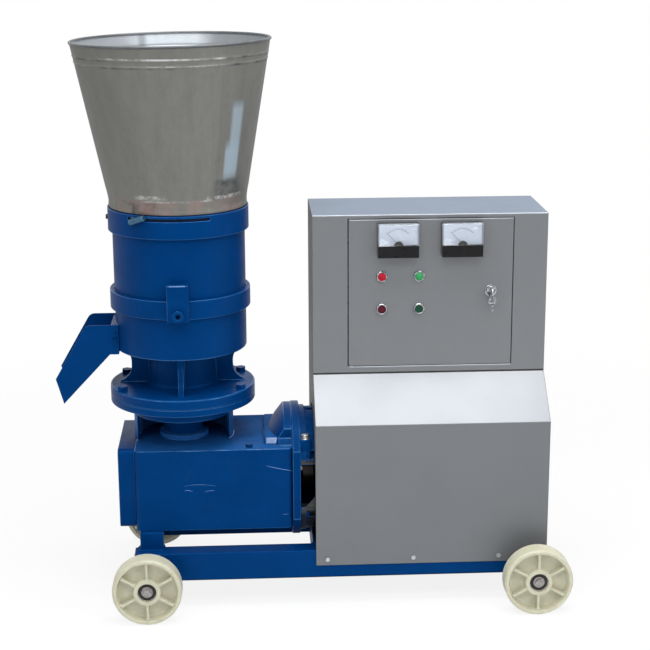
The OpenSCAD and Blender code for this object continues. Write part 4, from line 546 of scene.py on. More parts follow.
@dataclass
class Shell:
    """Points and faces gathered from grids before they become one mesh."""

    points: list[np.ndarray] = field(default_factory=list)
    quads: list[np.ndarray] = field(default_factory=list)
    caps: list[np.ndarray] = field(default_factory=list)
    paints: list[int] = field(default_factory=list)
    cap_paints: list[int] = field(default_factory=list)
    count: int = 0
    merge: float = 1e-6

    def grid(self, p: np.ndarray, round_u: bool = False, round_v: bool = False, paint: int = 0,
             cap_ends: bool = False) -> "Shell":
        """Adds a grid of points with a face between each four neighbours.

        Args:
            p: points, u by v by three.
            round_u: True when the last row joins the first.
            round_v: True when the last column joins the first.
            paint: number of the material.
            cap_ends: True to close the first and the last row with one face.

        Returns:
            This shell.
        """
        nu, nv = p.shape[:2]
        ids = np.arange(nu * nv).reshape(nu, nv) + self.count
        a = ids if round_u else ids[:-1]
        b = np.roll(ids, -1, 0) if round_u else ids[1:]
        if round_v:
            faces = np.stack([a, b, np.roll(b, -1, 1), np.roll(a, -1, 1)], -1)
        else:
            faces = np.stack([a[:, :-1], b[:, :-1], b[:, 1:], a[:, 1:]], -1)
        faces = faces.reshape(-1, 4)
        self.points.append(p.reshape(-1, 3))
        self.quads.append(faces)
        self.paints += [paint] * len(faces)
        if cap_ends:
            self.caps += [ids[0], ids[-1][::-1]]
            self.cap_paints += [paint, paint]
        self.count += nu * nv
        return self

    def loft(self, rows: np.ndarray, paint: int = 0) -> "Shell":
        """Adds a row of closed outlines with its two end faces."""
        return self.grid(rows, round_v=True, paint=paint, cap_ends=True)

    def bar(self, profile: np.ndarray, axis: Axis, lo: float, hi: float, ends: float = 0.0,
            paint: int = 0) -> "Shell":
        """Adds a closed outline carried along an axis, with its two end faces."""
        return self.loft(extrude(profile, axis, lo, hi, ends), paint)

    def rod(self, start: np.ndarray, end: np.ndarray, radius: float, edge: float = 0.8 * MM) -> "Shell":
        """Adds a round rod: rings of the radius, drawn in by the edge at both ends.

        Args:
            start: middle of the first end.
            end: middle of the last end.
            radius: radius of the rod.
            edge: size of its eased ends.

        Returns:
            This shell.
        """
        along = (end - start) / np.linalg.norm(end - start)
        side = np.cross(along, [0.0, 0.0, 1.0]) + 1e-9
        side /= np.linalg.norm(side)
        up = np.cross(along, side)
        a = np.linspace(0, ROUND, 24, endpoint=False)[:, None]
        ring = np.cos(a) * side + np.sin(a) * up
        rows = [start + ring * (radius - edge), start + along * edge + ring * radius,
                end - along * edge + ring * radius, end + ring * (radius - edge)]
        return self.loft(np.stack(rows))

    def disc(self, profile: np.ndarray, centre: Place, axis: Axis, steps: int = 96,
             paint: int = 0, closed: bool = False) -> "Shell":
        """Adds a turned profile, closed onto itself or ending on the axis."""
        return self.grid(revolve(profile, centre, axis, steps), round_u=True, round_v=closed, paint=paint)

    def piece(self, name: str, *finishes: Finish) -> bpy.types.Object:
        """Makes the object, with doubles merged and faces turned outwards.

        Args:
            name: name of the object.
            finishes: finish of each material number.

        Returns:
            The new object.
        """
        mesh = bpy.data.meshes.new(name)
        verts = np.concatenate(self.points)
        faces = np.concatenate(self.quads).tolist() + [c.tolist() for c in self.caps]
        mesh.from_pydata(verts.tolist(), [], faces)
        for finish in finishes:
            mesh.materials.append(finish.material())
        mesh.polygons.foreach_set("material_index", self.paints + self.cap_paints)
        bm = bmesh.new()
        bm.from_mesh(mesh)
        bmesh.ops.remove_doubles(bm, verts=bm.verts, dist=self.merge)
        bmesh.ops.dissolve_degenerate(bm, edges=bm.edges, dist=self.merge)
        bmesh.ops.recalc_face_normals(bm, faces=bm.faces)
        bm.to_mesh(mesh)
        bm.free()
        return placed(name, mesh)


def linked(name: str, data: bpy.types.ID) -> bpy.types.Object:
    """Makes an object of a mesh, lamp or camera and links it to the scene.

    Args:
        name: name of the object.
        data: its mesh, lamp or camera.

    Returns:
        The new object.
    """
    obj = bpy.data.objects.new(name, data)
    bpy.context.scene.collection.objects.link(obj)
    return obj


def placed(name: str, mesh: bpy.types.Mesh, degrees: float = 32.0) -> bpy.types.Object:
    """Shades a mesh smooth up to an angle and puts it into the scene.

    Args:
        name: name of the object.
        mesh: its mesh.
        degrees: edges that turn by more than this stay sharp.

    Returns:
        The new object.
    """
    mesh.polygons.foreach_set("use_smooth", np.ones(len(mesh.polygons), bool))
    mesh.set_sharp_from_angle(angle=math.radians(degrees))
    return linked(name, mesh)


def settle(obj: bpy.types.Object, body: str, slot: Slot, *nodes: str) -> bpy.types.Object:
    """Makes a piece ride on a body and hides the CAD nodes it stands for.

    Args:
        obj: the piece.
        body: body of the model that it moves with.
        slot: material slot that its finish belongs to; not used.
        nodes: CAD nodes that it takes the place of.

    Returns:
        The piece.
    """
    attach(obj, body)
    if nodes:
        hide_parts(*nodes)
    LOG.info("%s rides on %s, %d faces", obj.name, body, len(obj.data.polygons))
    return obj


@dataclass(frozen=True)
class Patch:
    """Second finish for the faces of a node whose middle lies in a box.

    With front, only the faces that look at the operator take it.
    """

    finish: Finish
    x: Span = (-FAR, FAR)
    y: Span = (-FAR, FAR)
    z: Span = (-FAR, FAR)
    front: bool = False

    def mask(self, mesh: bpy.types.Mesh) -> np.ndarray:
        """Finds the faces: lo < middle < hi on each axis, and normal y < -0.7 with front.

        Args:
            mesh: mesh whose faces are looked at.

        Returns:
            True for each face that takes the finish.
        """
        middle, normal = (np.empty(len(mesh.polygons) * 3, np.float32) for _ in range(2))
        mesh.polygons.foreach_get("center", middle)
        mesh.polygons.foreach_get("normal", normal)
        lo, hi = np.array([self.x, self.y, self.z]).T
        middle, normal = middle.reshape(-1, 3), normal.reshape(-1, 3)
        return np.all((middle > lo) & (middle < hi), axis=1) & ((normal[:, 1] < -0.7) | (not self.front))


def eased(node: str, finish: Finish, *patches: Patch, edge: float = 0.8 * MM,
          segments: int = 2) -> bpy.types.Object:
    """Puts a copy of a CAD node with softened edges in its place.

    Args:
        node: the CAD node.
        finish: its finish.
        patches: other finishes for parts of the node.
        edge: width of the rounded edges.
        segments: faces across a rounded edge.

    Returns:
        The new object.
    """
    merge, level, corner = 3e-6, math.radians(0.4), math.radians(30.0)
    source = frame["nodes"][node]
    mesh = source.data.copy()
    mesh.materials.clear()
    mesh.materials.append(finish.material())
    bm = bmesh.new()
    bm.from_mesh(mesh)
    bmesh.ops.remove_doubles(bm, verts=bm.verts, dist=merge)
    bmesh.ops.dissolve_limit(bm, angle_limit=level, verts=bm.verts, edges=bm.edges)
    bm.to_mesh(mesh)
    bm.free()
    index = np.zeros(len(mesh.polygons), np.int32)
    for number, patch in enumerate(patches, 1):
        mesh.materials.append(patch.finish.material())
        index[patch.mask(mesh)] = number
    mesh.polygons.foreach_set("material_index", index)
    obj = placed(node + "_dressed", mesh)
    soft = obj.modifiers.new("edges", "BEVEL")
    soft.width, soft.segments = edge, segments
    soft.limit_method, soft.angle_limit = "ANGLE", corner
    soft.use_clamp_overlap = False
    soft.harden_normals = True
    # The bevel strips take the casting's lighter edge finish: wear and a painted highlight.
    if finish.name in EDGE_OF:
        mesh.materials.append(EDGE_OF[finish.name].material())
        soft.material = len(mesh.materials) - 1
    return settle(obj, source["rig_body"], finish.slot, node)


@dataclass
class Wheel:
    """Moulded nylon wheel with ribs, two sealed bearings and a rounded tread."""

    node: str
    body: str
    radius: float = 85 * MM
    half: float = 25 * MM
    recess: float = 72 * MM
    hub: float = 34 * MM
    web: float = 4 * MM
    seat: float = 23.5 * MM
    bore: float = 10.05 * MM
    draft: float = 1 * MM
    lip: float = 3 * MM
    root: float = 2 * MM
    shoulder: float = 6 * MM
    ribs: int = 6
    rib_half: float = 3.1 * MM
    rib_in: float = 4 * MM
    rib_edge: float = 1.6 * MM
    rib_flare: float = 0.9
    bearing_in: float = 8 * MM
    bearing_wide: float = 14 * MM
    inner_race: float = 2.2 * MM
    outer_race: float = 1.3 * MM
    race_gap: float = 0.05 * MM
    race_edge: float = 0.5 * MM
    seal_in: float = 0.4 * MM
    seal_dish: float = 1.3 * MM
    seal_lap: float = 1 * MM

    def centre(self) -> np.ndarray:
        """Middle of the wheel, from its CAD node's box."""
        lo, hi = box_of(self.node)
        return (lo + hi) / 2

    def tread(self) -> bpy.types.Object:
        """Turns rim, web and hub as one closed profile about Y.

        Returns:
            The nylon body with its ribs.
        """
        h, w, d, r = self.half, self.web, self.draft, self.radius
        rim, foot = self.recess + self.lip, self.recess - self.root
        side = [(w, self.hub + d), (h - d, self.hub - d), (h - d, self.seat), (-h + d, self.seat),
                (-h + d, self.hub - d), (-w, self.hub + d), (-w, foot), (-h, rim), (-h, r - self.lip),
                (-h + self.shoulder, r), (h - self.shoulder, r), (h, r - self.lip), (h, rim), (w, foot)]
        edges = np.array([3, 1.2, 0.6, 0.6, 1.2, 3, 4, 1.6, 2.5, 6, 6, 2.5, 1.6, 4]) * MM
        shell = Shell().disc(outline(np.array(side), edges), self.centre(), Axis.Y, 120, closed=True)
        for spoke in range(self.ribs):
            shell.loft(self.rib(spoke * ROUND / self.ribs) + self.centre())
        return settle(shell.piece(self.node + "_nylon", NYLON), self.body, Slot.NYLON, self.node)

    def rib(self, angle: float) -> np.ndarray:
        """One rib as a rounded, tapered plate.

        Its outline is a rounded rectangle, 2 * rib_half wide, that travels along the
        radius from hub to rim. With t from 0 to 1 on the way, the width grows by
        1 + rib_flare * |2t - 1|^6, as the root fillets do at both ends.

        Args:
            angle: direction of the rib in the wheel's plane.

        Returns:
            Points of the rib, places by outline by three.
        """
        top = self.half - self.rib_in
        section = block(-self.rib_half, self.rib_half, -top, top, self.rib_edge)
        r = np.linspace(self.hub - self.root, self.recess + self.draft, 15)
        t = (r - r[0]) / (r[-1] - r[0])
        flare = (1 + self.rib_flare * np.abs(2 * t - 1) ** 6)[:, None, None]
        out = np.array([math.sin(angle), 0, math.cos(angle)])
        tang = np.array([math.cos(angle), 0, -math.sin(angle)])
        up = np.array([0.0, 1.0, 0.0])
        return r[:, None, None] * out + section[None, :, :1] * flare * tang + section[None, :, 1:] * up

    def bearings(self) -> bpy.types.Object:
        """Two sealed bearings, races in steel and the dished seals in rubber.

        Returns:
            The pair of bearings.
        """
        shell, centre = Shell(), self.centre()
        inner, outer = self.bore + self.inner_race, self.seat - self.outer_race
        for sign in (-1, 1):
            face = sign * (self.half - self.bearing_in)
            back = face - sign * self.bearing_wide
            for lo, hi in ((self.bore, inner), (outer, self.seat - self.race_gap)):
                shell.disc(block(back, face, lo, hi, self.race_edge, 3), centre, Axis.Y, 72, closed=True)
            lip, rear = face - sign * self.seal_in, back + sign * self.seal_lap
            low, high = inner - self.seal_lap, outer + self.seal_lap
            seal = np.array([(rear, low), (lip, low), (face - sign * self.seal_dish, (inner + outer) / 2),
                             (lip, high), (rear, high)])
            shell.disc(outline(seal, self.race_edge, 3), centre, Axis.Y, 72, paint=1, closed=True)
        return settle(shell.piece(self.node + "_bearings", ZINC, SEAL_RUBBER), self.body, Slot.ZINC)

    def build(self) -> None:
        """Builds the wheel's pieces."""
        self.tread()
        self.bearings()


@dataclass
class Hopper:
    """Galvanised hopper with a wired rim, two beads, a lap seam and a collar."""

    collar: float = 169 * MM
    mouth: float = 239 * MM
    collar_height: float = 61 * MM
    lean: float = 8 * MM
    tilt: float = 3.5 * MM
    wobble: Span = (0.9 * MM, 0.4 * MM)
    sheet: float = 1.6 * MM
    wire: float = 3.5 * MM
    kink_soft: float = 5 * MM
    kink_reach: float = 25 * MM
    bead: float = 1.3 * MM
    bead_half: float = 2.2 * MM
    bead_shares: Span = (0.08, 0.12)
    fold: float = 0.7 * MM
    fold_half: float = 3 * MM
    fold_down: float = 14 * MM
    seam_angle: float = 32.0
    seam_half: float = 9 * MM
    seam_rise: float = 0.9 * MM
    seam_sink: float = 0.25 * MM
    seam_back: float = 0.4 * MM
    seam_gap: float = 2 * MM
    bolt_angle: float = -30.0
    bolt_out: float = 182.5 * MM
    handle_half: float = 20 * MM
    handle_drop: float = 7 * MM
    handle_radius: float = 7.2 * MM
    stub_radius: float = 4.5 * MM

    def line(self) -> np.ndarray:
        """Outer line of the sheet from the collar's foot up to the rim.

        Above the kink the radius grows from collar to mouth in proportion to the
        height. Near the kink it follows a hyperbola, (z + sqrt(z^2 + kink_soft^2)) / 2.
        A bead or fold adds its size times exp(-(distance / half)^2).

        Returns:
            Rows of height and radius.
        """
        lo, hi = box_of("hopper")
        foot, top = lo[2], hi[2] - self.wire
        kink = foot + self.collar_height
        h = top - kink
        z = np.r_[np.linspace(foot, kink, 18)[:-1], np.linspace(kink, top, 150)]
        slope = (self.mouth - self.collar) / h
        r = self.collar + slope * np.clip(z - kink, 0, h)
        near = np.sqrt((z - kink) ** 2 + self.kink_soft ** 2) - self.kink_soft
        r = np.where(np.abs(z - kink) < self.kink_reach, self.collar + slope * ((z - kink) + near) / 2, r)
        for share in self.bead_shares:
            r = r + self.bead * np.exp(-(((z - (top - share * h)) / self.bead_half) ** 2))
        return np.c_[z, r + self.fold * np.exp(-(((z - (kink - self.fold_down)) / self.fold_half) ** 2))]

    def sheet_metal(self) -> bpy.types.Object:
        """Turns the sheet and its rolled rim, an arc of the wire's radius at the top.

        Returns:
            The hopper's sheet.
        """
        line, centre = self.line(), self.middle()
        top, first = line[-1], len(line) - 1
        a = np.linspace(-0.5 * math.pi, 1.35 * math.pi, 22)
        roll = np.c_[top[0] + self.wire * np.sin(a) * 0.98, top[1] - self.sheet / 2 + self.wire * np.cos(a)]
        inner = line[::-1] - np.array([0, self.sheet])
        profile = np.concatenate([line[:-1], roll, inner[1:]])
        p = self.bent(revolve(profile, centre, Axis.Z, 180))
        # Rows below the ring's top take the dark seat finish, painted shadow in the ring's slot.
        seated = int((line[:, 0] < box_of("hopper_ring")[1][2] - MM).sum())
        rim_end = first + 18
        # The inner face, paint 1, takes the lighter finish as painted light.
        shell = Shell().grid(np.concatenate([p[:, rim_end:], p[:, :1]], 1), round_u=True, paint=1)
        for start, end, paint in ((0, seated, 3), (seated, first, 0), (first, rim_end, 2)):
            shell.grid(p[:, start:end + 1], round_u=True, paint=paint)
        finishes = (TIN_SHEET, TIN_INSIDE_LIT, TIN_RIM, TIN_SEAT_SHADOW)
        return settle(shell.piece("hopper_sheet", *finishes), "hopper_body", Slot.TIN, "hopper")

    def bent(self, p: np.ndarray) -> np.ndarray:
        """Leans the cone to the left and takes it a little out of round.

        With t from 0 at the kink to 1 at the rim and u the angle about the axis, a
        point moves out by (w0 * sin(2u + 1) + w1 * sin(5u + 2)) * t with the two sizes
        of wobble, by -lean * t along X and by tilt * (cos(u) - 1) * t along Z, so the
        collar stays true and the rim drops to the left.

        Args:
            p: points of the sheet.

        Returns:
            The moved points.
        """
        lo, hi = box_of("hopper")
        cx, cy, _ = self.middle()
        kink = lo[2] + self.collar_height
        t = np.clip((p[..., 2] - kink) / (hi[2] - kink), 0, 1)
        u = np.arctan2(p[..., 1] - cy, p[..., 0] - cx)
        off = (self.wobble[0] * np.sin(2 * u + 1) + self.wobble[1] * np.sin(5 * u + 2)) * t
        drop = self.tilt * (np.cos(u) - 1) * t
        return p + np.stack([off * np.cos(u) - self.lean * t, off * np.sin(u), drop], -1)

    def middle(self) -> Place:
        """Point of the hopper's axis at floor height."""
        lo, hi = box_of("hopper")
        return ((lo[0] + hi[0]) / 2, (lo[1] + hi[1]) / 2, 0.0)

    def seam(self) -> bpy.types.Object:
        """Lap of the sheet: a strip over the outer line, raised by the sheet.

        Point (z, s) is the outer line at z, raised by seam_rise * (1 - s^8) less
        seam_sink, at the angle seam_angle + s * seam_half / r.

        Returns:
            The seam.
        """
        line = self.line()
        foot = box_of("hopper_ring")[1][2] + self.seam_gap
        line = line[(line[:, 0] > foot) & (line[:, 0] < line[-1, 0] - 2 * self.seam_gap)]
        cx, cy, _ = self.middle()
        s = np.linspace(-1, 1, 13)
        z, r = line[:, :1], line[:, 1:]
        u = math.radians(self.seam_angle - 90) + s[None] * self.seam_half / r
        rise = self.seam_rise * (1 - s[None] ** 8) - self.seam_sink
        faces = [np.stack([cx + (r + up) * np.cos(u), cy + (r + up) * np.sin(u), z + 0 * u], -1)
                 for up in (rise, -self.seam_back)]
        shell = Shell().loft(self.bent(np.concatenate([faces[0], faces[1][:, ::-1]], 1)))
        return settle(shell.piece("hopper_seam", TIN_SHEET), "hopper_body", Slot.TIN)

    def handle(self) -> bpy.types.Object:
        """Round handle across the lock bolt's head, its left end lower, with a stub.

        Returns:
            The handle.
        """
        cx, cy, _ = self.middle()
        lo, hi = box_of("hopper_lock_bolt")
        turn = math.radians(self.bolt_angle)
        sine, cosine = math.sin(turn), math.cos(turn)
        centre = np.array([cx + self.bolt_out * sine, cy - self.bolt_out * cosine, (lo[2] + hi[2]) / 2])
        reach = np.array([self.handle_half * cosine, self.handle_half * sine, self.handle_drop])
        shell = Shell().rod(centre - reach, centre + reach, self.handle_radius)
        shell.rod(centre - reach * 1.12, centre - reach * 0.5, self.stub_radius)
        return settle(shell.piece("lock_bolt_handle", DARK_ZINC), "hopper_body", Slot.ZINC)

    def build(self) -> None:
        """Builds the hopper and its bolt."""
        self.sheet_metal()
        self.seam()
        self.handle()
        eased("hopper_lock_bolt", DARK_ZINC, edge=0.5 * MM)


@dataclass
class Instruments:
    """What sits on the panel door: meters, lamps, buttons and the lock."""

    meter_wide: float = 100 * MM
    meter_rim: float = 2.6 * MM
    dial_sheet: float = 0.7 * MM
    dial_gap: float = 0.2 * MM
    dial_up: float = 0.3 * MM
    dial_edge: float = 1.5 * MM
    print_gap: float = 0.1 * MM
    pivot_share: float = 0.36
    pivot_up: float = 3 * MM
    scale_radius: float = 36 * MM
    scale_half: float = 0.35 * MM
    scale_angle: float = 45.0
    ticks: int = 31
    tick_long: float = 5 * MM
    tick_short: float = 3 * MM
    tick_half: Span = (0.3 * MM, 0.18 * MM)
    print_rise: float = 0.08 * MM
    lens_depth: float = 4 * MM
    lens_ring: float = 0.22 * MM
    lens_rings: int = 4
    lock_hole: float = 11.2 * MM
    lock_rims: Span = (14.4 * MM, 15.6 * MM)
    lock_proud: Span = (2.6 * MM, 1.8 * MM)
    lock_sunk: float = 0.4 * MM

    def meter_boxes(self) -> list[tuple[np.ndarray, np.ndarray]]:
        """Boxes of the two meters, left and right.

        Returns:
            Lowest and highest corner of each.
        """
        lo, hi = box_of("meter_windows")
        low, wide = box_of("meter_cases")[0][2], self.meter_wide
        return [(np.array([x, lo[1], low]), np.array([x + wide, hi[1], hi[2]]))
                for x in (lo[0], hi[0] - wide)]

    def dials(self) -> None:
        """Adds a white dial plate and a printed scale to each meter."""
        rim = self.meter_rim
        for name, (lo, hi) in zip(("voltmeter", "ammeter"), self.meter_boxes()):
            z0 = lo[2] + self.pivot_share * (hi[2] - lo[2])
            plate = block(z0 + self.dial_up, hi[2] - rim, lo[0] + rim, hi[0] - rim, self.dial_edge)
            face = hi[1] - self.dial_gap - self.dial_sheet
            shell = Shell().bar(plate, Axis.Y, face, hi[1] - self.dial_gap)
            settle(shell.piece(name + "_dial", DIAL_WHITE), "door", Slot.NYLON)
            self.scale(name, np.array([(lo[0] + hi[0]) / 2, face - self.print_gap, z0 + self.pivot_up]))

    def scale(self, name: str, pivot: np.ndarray) -> None:
        """Prints an arc and its ticks on a dial.

        Tick i lies at the angle a from -scale_angle to scale_angle from upright,
        between the radii R and R plus its length, as a thin raised bar.

        Args:
            name: meter the scale belongs to.
            pivot: place of the needle's pivot on the front of the dial.
        """
        shell = Shell()
        radius, spread = self.scale_radius, math.radians(self.scale_angle)
        angles = np.linspace(-spread, spread, self.ticks)
        long = np.arange(self.ticks) % 5 == 0
        ends = radius + np.where(long, self.tick_long, self.tick_short)
        half = np.where(long, *self.tick_half)
        dirs = np.stack([np.sin(angles), 0 * angles, np.cos(angles)], -1)
        side = np.stack([np.cos(angles), 0 * angles, -np.sin(angles)], -1)
        loop = np.array([(-1, 0), (1, 0), (1, 1), (-1, 1)], float)
        for k in range(self.ticks):
            rows = np.array([radius, ends[k]])[:, None, None] * dirs[k]
            section = loop[:, :1] * half[k] * side[k] + loop[:, 1:] * np.array([0, -self.print_rise, 0])
            shell.loft(pivot + rows + section[None])
        ring = block(-self.print_rise, 0.0, radius - self.scale_half, radius + self.scale_half, 0.0, 1)
        shell.loft(revolve(ring, pivot, Axis.Y, 48, -spread, 2 * spread))
        settle(shell.piece(name + "_scale", DIAL_BLACK), "door", Slot.BLACK_PLASTIC)

    def lens(self, node: str, finish: Finish) -> None:
        """Lamp lens: a dome with moulded rings.

        The dome is y = -lens_depth * cos(pi r / 2 R) + lens_ring * sin(pi k r / R)^2
        for radius r, rim radius R and k rings.

        Args:
            node: CAD node of the lamp.
            finish: its finish.
        """
        lo, hi = box_of(node)
        rim, depth = (hi[0] - lo[0]) / 2, self.lens_depth
        r = np.linspace(0, rim, 40)
        y = lo[1] + depth - depth * np.cos(math.pi * r / 2 / rim)
        y = y + self.lens_ring * np.sin(math.pi * self.lens_rings * r / rim) ** 2
        profile = np.concatenate([np.c_[y, r], [[hi[1], rim], [hi[1], 0]]])
        shell = Shell().disc(profile, ((lo[0] + hi[0]) / 2, 0.0, (lo[2] + hi[2]) / 2), Axis.Y, 64)
        settle(shell.piece(node + "_lens", finish), "door", finish.slot, node)

    def escutcheon(self) -> None:
        """Turned chrome ring around the lock cylinder."""
        lo, hi = box_of("lock_cylinder")
        face = box_of("control_box")[0][1]
        back, hole = face + self.lock_sunk, self.lock_hole
        profile = np.array([(face - self.lock_proud[0], hole), (face - self.lock_proud[1], self.lock_rims[0]),
                            (back, self.lock_rims[1]), (back, hole)])
        centre = ((lo[0] + hi[0]) / 2, 0.0, (lo[2] + hi[2]) / 2)
        shell = Shell().disc(outline(profile, radii=0.7 * MM), centre, Axis.Y, 64, closed=True)
        settle(shell.piece("lock_ring", CHROME), "door", Slot.CHROME)

    def spare_key(self) -> None:
        """Spare key on its ring: bow and toothed blade face the operator."""
        lo, hi = box_of("spare_key")
        x, y, top = (lo[0] + hi[0]) / 2, (lo[1] + hi[1]) / 2, hi[2]
        ring_r, wire, bow, hole, half = 7 * MM, 0.9 * MM, 10.5 * MM, 4 * MM, 1.1 * MM
        a = np.linspace(0, ROUND, 14, endpoint=False)
        section = np.c_[wire * np.sin(a), ring_r + wire * np.cos(a)]
        z = top - ring_r - wire
        shell = Shell().disc(section, (x, y, z), Axis.X, 40, closed=True)
        z -= ring_r + hole - wire
        plate = block(y - half, y + half, hole, bow, radius=0.3 * MM)
        shell.disc(plate, (x, 0.0, z), Axis.Y, 48, closed=True)
        neck, tip = z - bow + 2 * MM, z - bow - 17 * MM
        teeth = np.array([(1, -3), (4, -2), (6, -3.4), (8.5, -1.8), (11, -4)]) * MM + np.array([tip, x])
        blade = [(neck, x + 4 * MM), (tip + 3 * MM, x + 4 * MM), (tip, x + MM), *teeth, (neck, x - 4 * MM)]
        shell.bar(outline(np.array(blade), radii=0.4 * MM), Axis.Y, y - half, y + half)
        settle(shell.piece("spare_key_on_ring", CHROME), "hanging_key", Slot.CHROME, "spare_key")

    def build(self) -> None:
        """Builds the instruments."""
        self.dials()
        self.lens("red_lamp", RED_LENS)
        self.lens("green_lamp", GREEN_LENS)
        lo, hi = box_of("meter_windows")
        dial = Patch(DIAL_WHITE, y=(hi[1] - self.dial_up, hi[1] + self.dial_up), z=(lo[2], FAR), front=True)
        eased("meter_cases", BLACK_MOULD, dial, edge=0.9 * MM, segments=3)
        eased("meter_windows", CLEAR_COVER, edge=0.7 * MM)
        eased("lamp_bezels", CHROME, edge=0.3 * MM)
        eased("lock_cylinder", CHROME, edge=0.4 * MM)
        eased("lock_key", CHROME, edge=0.3 * MM)
        self.escutcheon()
        self.spare_key()
        eased("stop_button", RED_BUTTON, edge=0.6 * MM)
        eased("start_button", GREEN_BUTTON, edge=0.6 * MM)
        eased("voltmeter_needle", DIAL_BLACK, edge=0.1 * MM, segments=1)
        eased("ammeter_needle", DIAL_BLACK, edge=0.1 * MM, segments=1)


@dataclass
class Cabinet:
    """Silver-grey sheet cabinet over the motor, with its control box."""

    bend: float = 1.6 * MM
    bend_radius: float = 1.8 * MM
    proud: float = 0.4 * MM
    gap: float = 1.5 * MM
    skin: float = 2 * MM
    slope_foot: float = 460 * MM
    seam_proud: float = 1.2 * MM
    seam_deep: float = 6 * MM
    seam_low: float = 0.4 * MM
    seam_high: float = 3.4 * MM

    def build(self) -> None:
        """Builds the sheets, the inside and the fixings."""
        lo, hi = box_of("control_box")
        # The left side takes a darker grey as painted shade, the slope a lighter grey and the box's top a
        # bluer grey as a painted sky reflection, and the motor cover a darker grey than the box as painted
        # shade.
        side = Patch(GREY_SIDE_SHADED, x=(-FAR, lo[0] + self.skin))
        slope = Patch(GREY_SLOPE_SKY_SHEEN, y=(-FAR, lo[1] - self.skin), z=(self.slope_foot, lo[2]))
        top = Patch(GREY_TOP_SKY_SHEEN, z=(hi[2] - self.skin, FAR))
        eased("motor_cover", GREY_COVER_SHADED, side, slope, edge=self.bend, segments=3)
        eased("control_box", GREY_SHEET, side, top, edge=self.bend, segments=3)
        self.bends(lo, hi)
        eased("panel_door", GREY_SHEET, edge=1.2 * MM, segments=3)
        eased("mounting_plate", ZINC, edge=0.4 * MM)
        eased("contactors", GREY_MOULD, edge=1.0 * MM)
        eased("cable_gland", BLACK_MOULD, edge=0.6 * MM)
        eased("cover_screws", BRIGHT_ZINC, edge=0.6 * MM)
        eased("door_hinge_pins", ZINC, edge=0.3 * MM)

    def bends(self, lo: np.ndarray, hi: np.ndarray) -> None:
        """Adds round bends along the box's top and the door, painted light grey as a highlight, and a black
        strip under the control box as painted shade in the joint.

        Args:
            lo: lowest corner of the control box.
            hi: highest corner of the control box.
        """
        door_lo, door_hi = box_of("panel_door")
        r, out = self.bend_radius, self.proud
        y = lo[1] + r - out
        lines = (("box_top_bend_highlight", "frame", lo[0] + r, hi[0] - r, hi[2] - r + out),
                 ("door_top_bend_highlight", "door", door_lo[0] + r, door_hi[0] - r, door_hi[2] - r),
                 ("door_sill_bend_highlight", "frame", door_lo[0], door_hi[0], door_lo[2] - self.gap - r))
        a = np.linspace(0, ROUND, 16, endpoint=False)
        for name, body, x0, x1, z in lines:
            shell = Shell().bar(np.c_[y + r * np.cos(a), z + r * np.sin(a)], Axis.X, x0, x1)
            settle(shell.piece(name, GREY_BEND_HIGHLIGHT), body, Slot.GREY)
        # Black strip in the joint under the control box: painted shade.
        seam = block(lo[1] - self.seam_proud, lo[1] + self.seam_deep, lo[2] - self.seam_low,
                     lo[2] + self.seam_high, radius=0.8 * MM)
        shell = Shell().bar(seam, Axis.X, lo[0] + MM, hi[0] - MM)
        settle(shell.piece("box_seam_painted_shade", SEAL_RUBBER), "frame", Slot.GREY)


@dataclass
class MillBody:
    """Blue press body from the gearbox's lantern up to the hopper ring.

    The bolts left of chute_side and under ring_foot, and all under flange_top, are
    painted over with the body.
    """

    edge: float = 1.4 * MM
    chute_side: float = -470 * MM
    ring_foot: float = 750 * MM
    flange_top: float = 600 * MM

    def build(self) -> None:
        """Builds the castings, rings and fixings."""
        for node in ("lower_barrel", "upper_barrel", "joint_ring", "axle_pockets", "hopper_ring"):
            eased(node, BLUE_CAST, edge=self.edge, segments=3)
        eased("discharge_chute", BLUE_SHEET, edge=0.7 * MM)
        eased("mill_bolts", BLACK_PAINT, Patch(BLUE_CAST, x=(-FAR, self.chute_side), z=(0.0, self.ring_foot)),
              Patch(BLUE_CAST, z=(0.0, self.flange_top)))
        eased("adjusting_bolts", BLUE_CAST, edge=0.7 * MM)


@dataclass
class PressParts:
    """What turns and presses inside the mill body."""

    edge: float = 0.6 * MM
    tooth_edge: float = 0.25 * MM

    def build(self) -> None:
        """Builds shaft, die, rollers and gears."""
        eased("main_shaft", OILED, edge=self.edge)
        for node in ("throw_plate", "flat_die", "spindle_nut", "roller_axle", "front_roller", "rear_roller"):
            eased(node, STEEL, edge=self.edge)
        for node in ("crown_gear", "input_shaft"):
            eased(node, STEEL, edge=self.tooth_edge, segments=1)


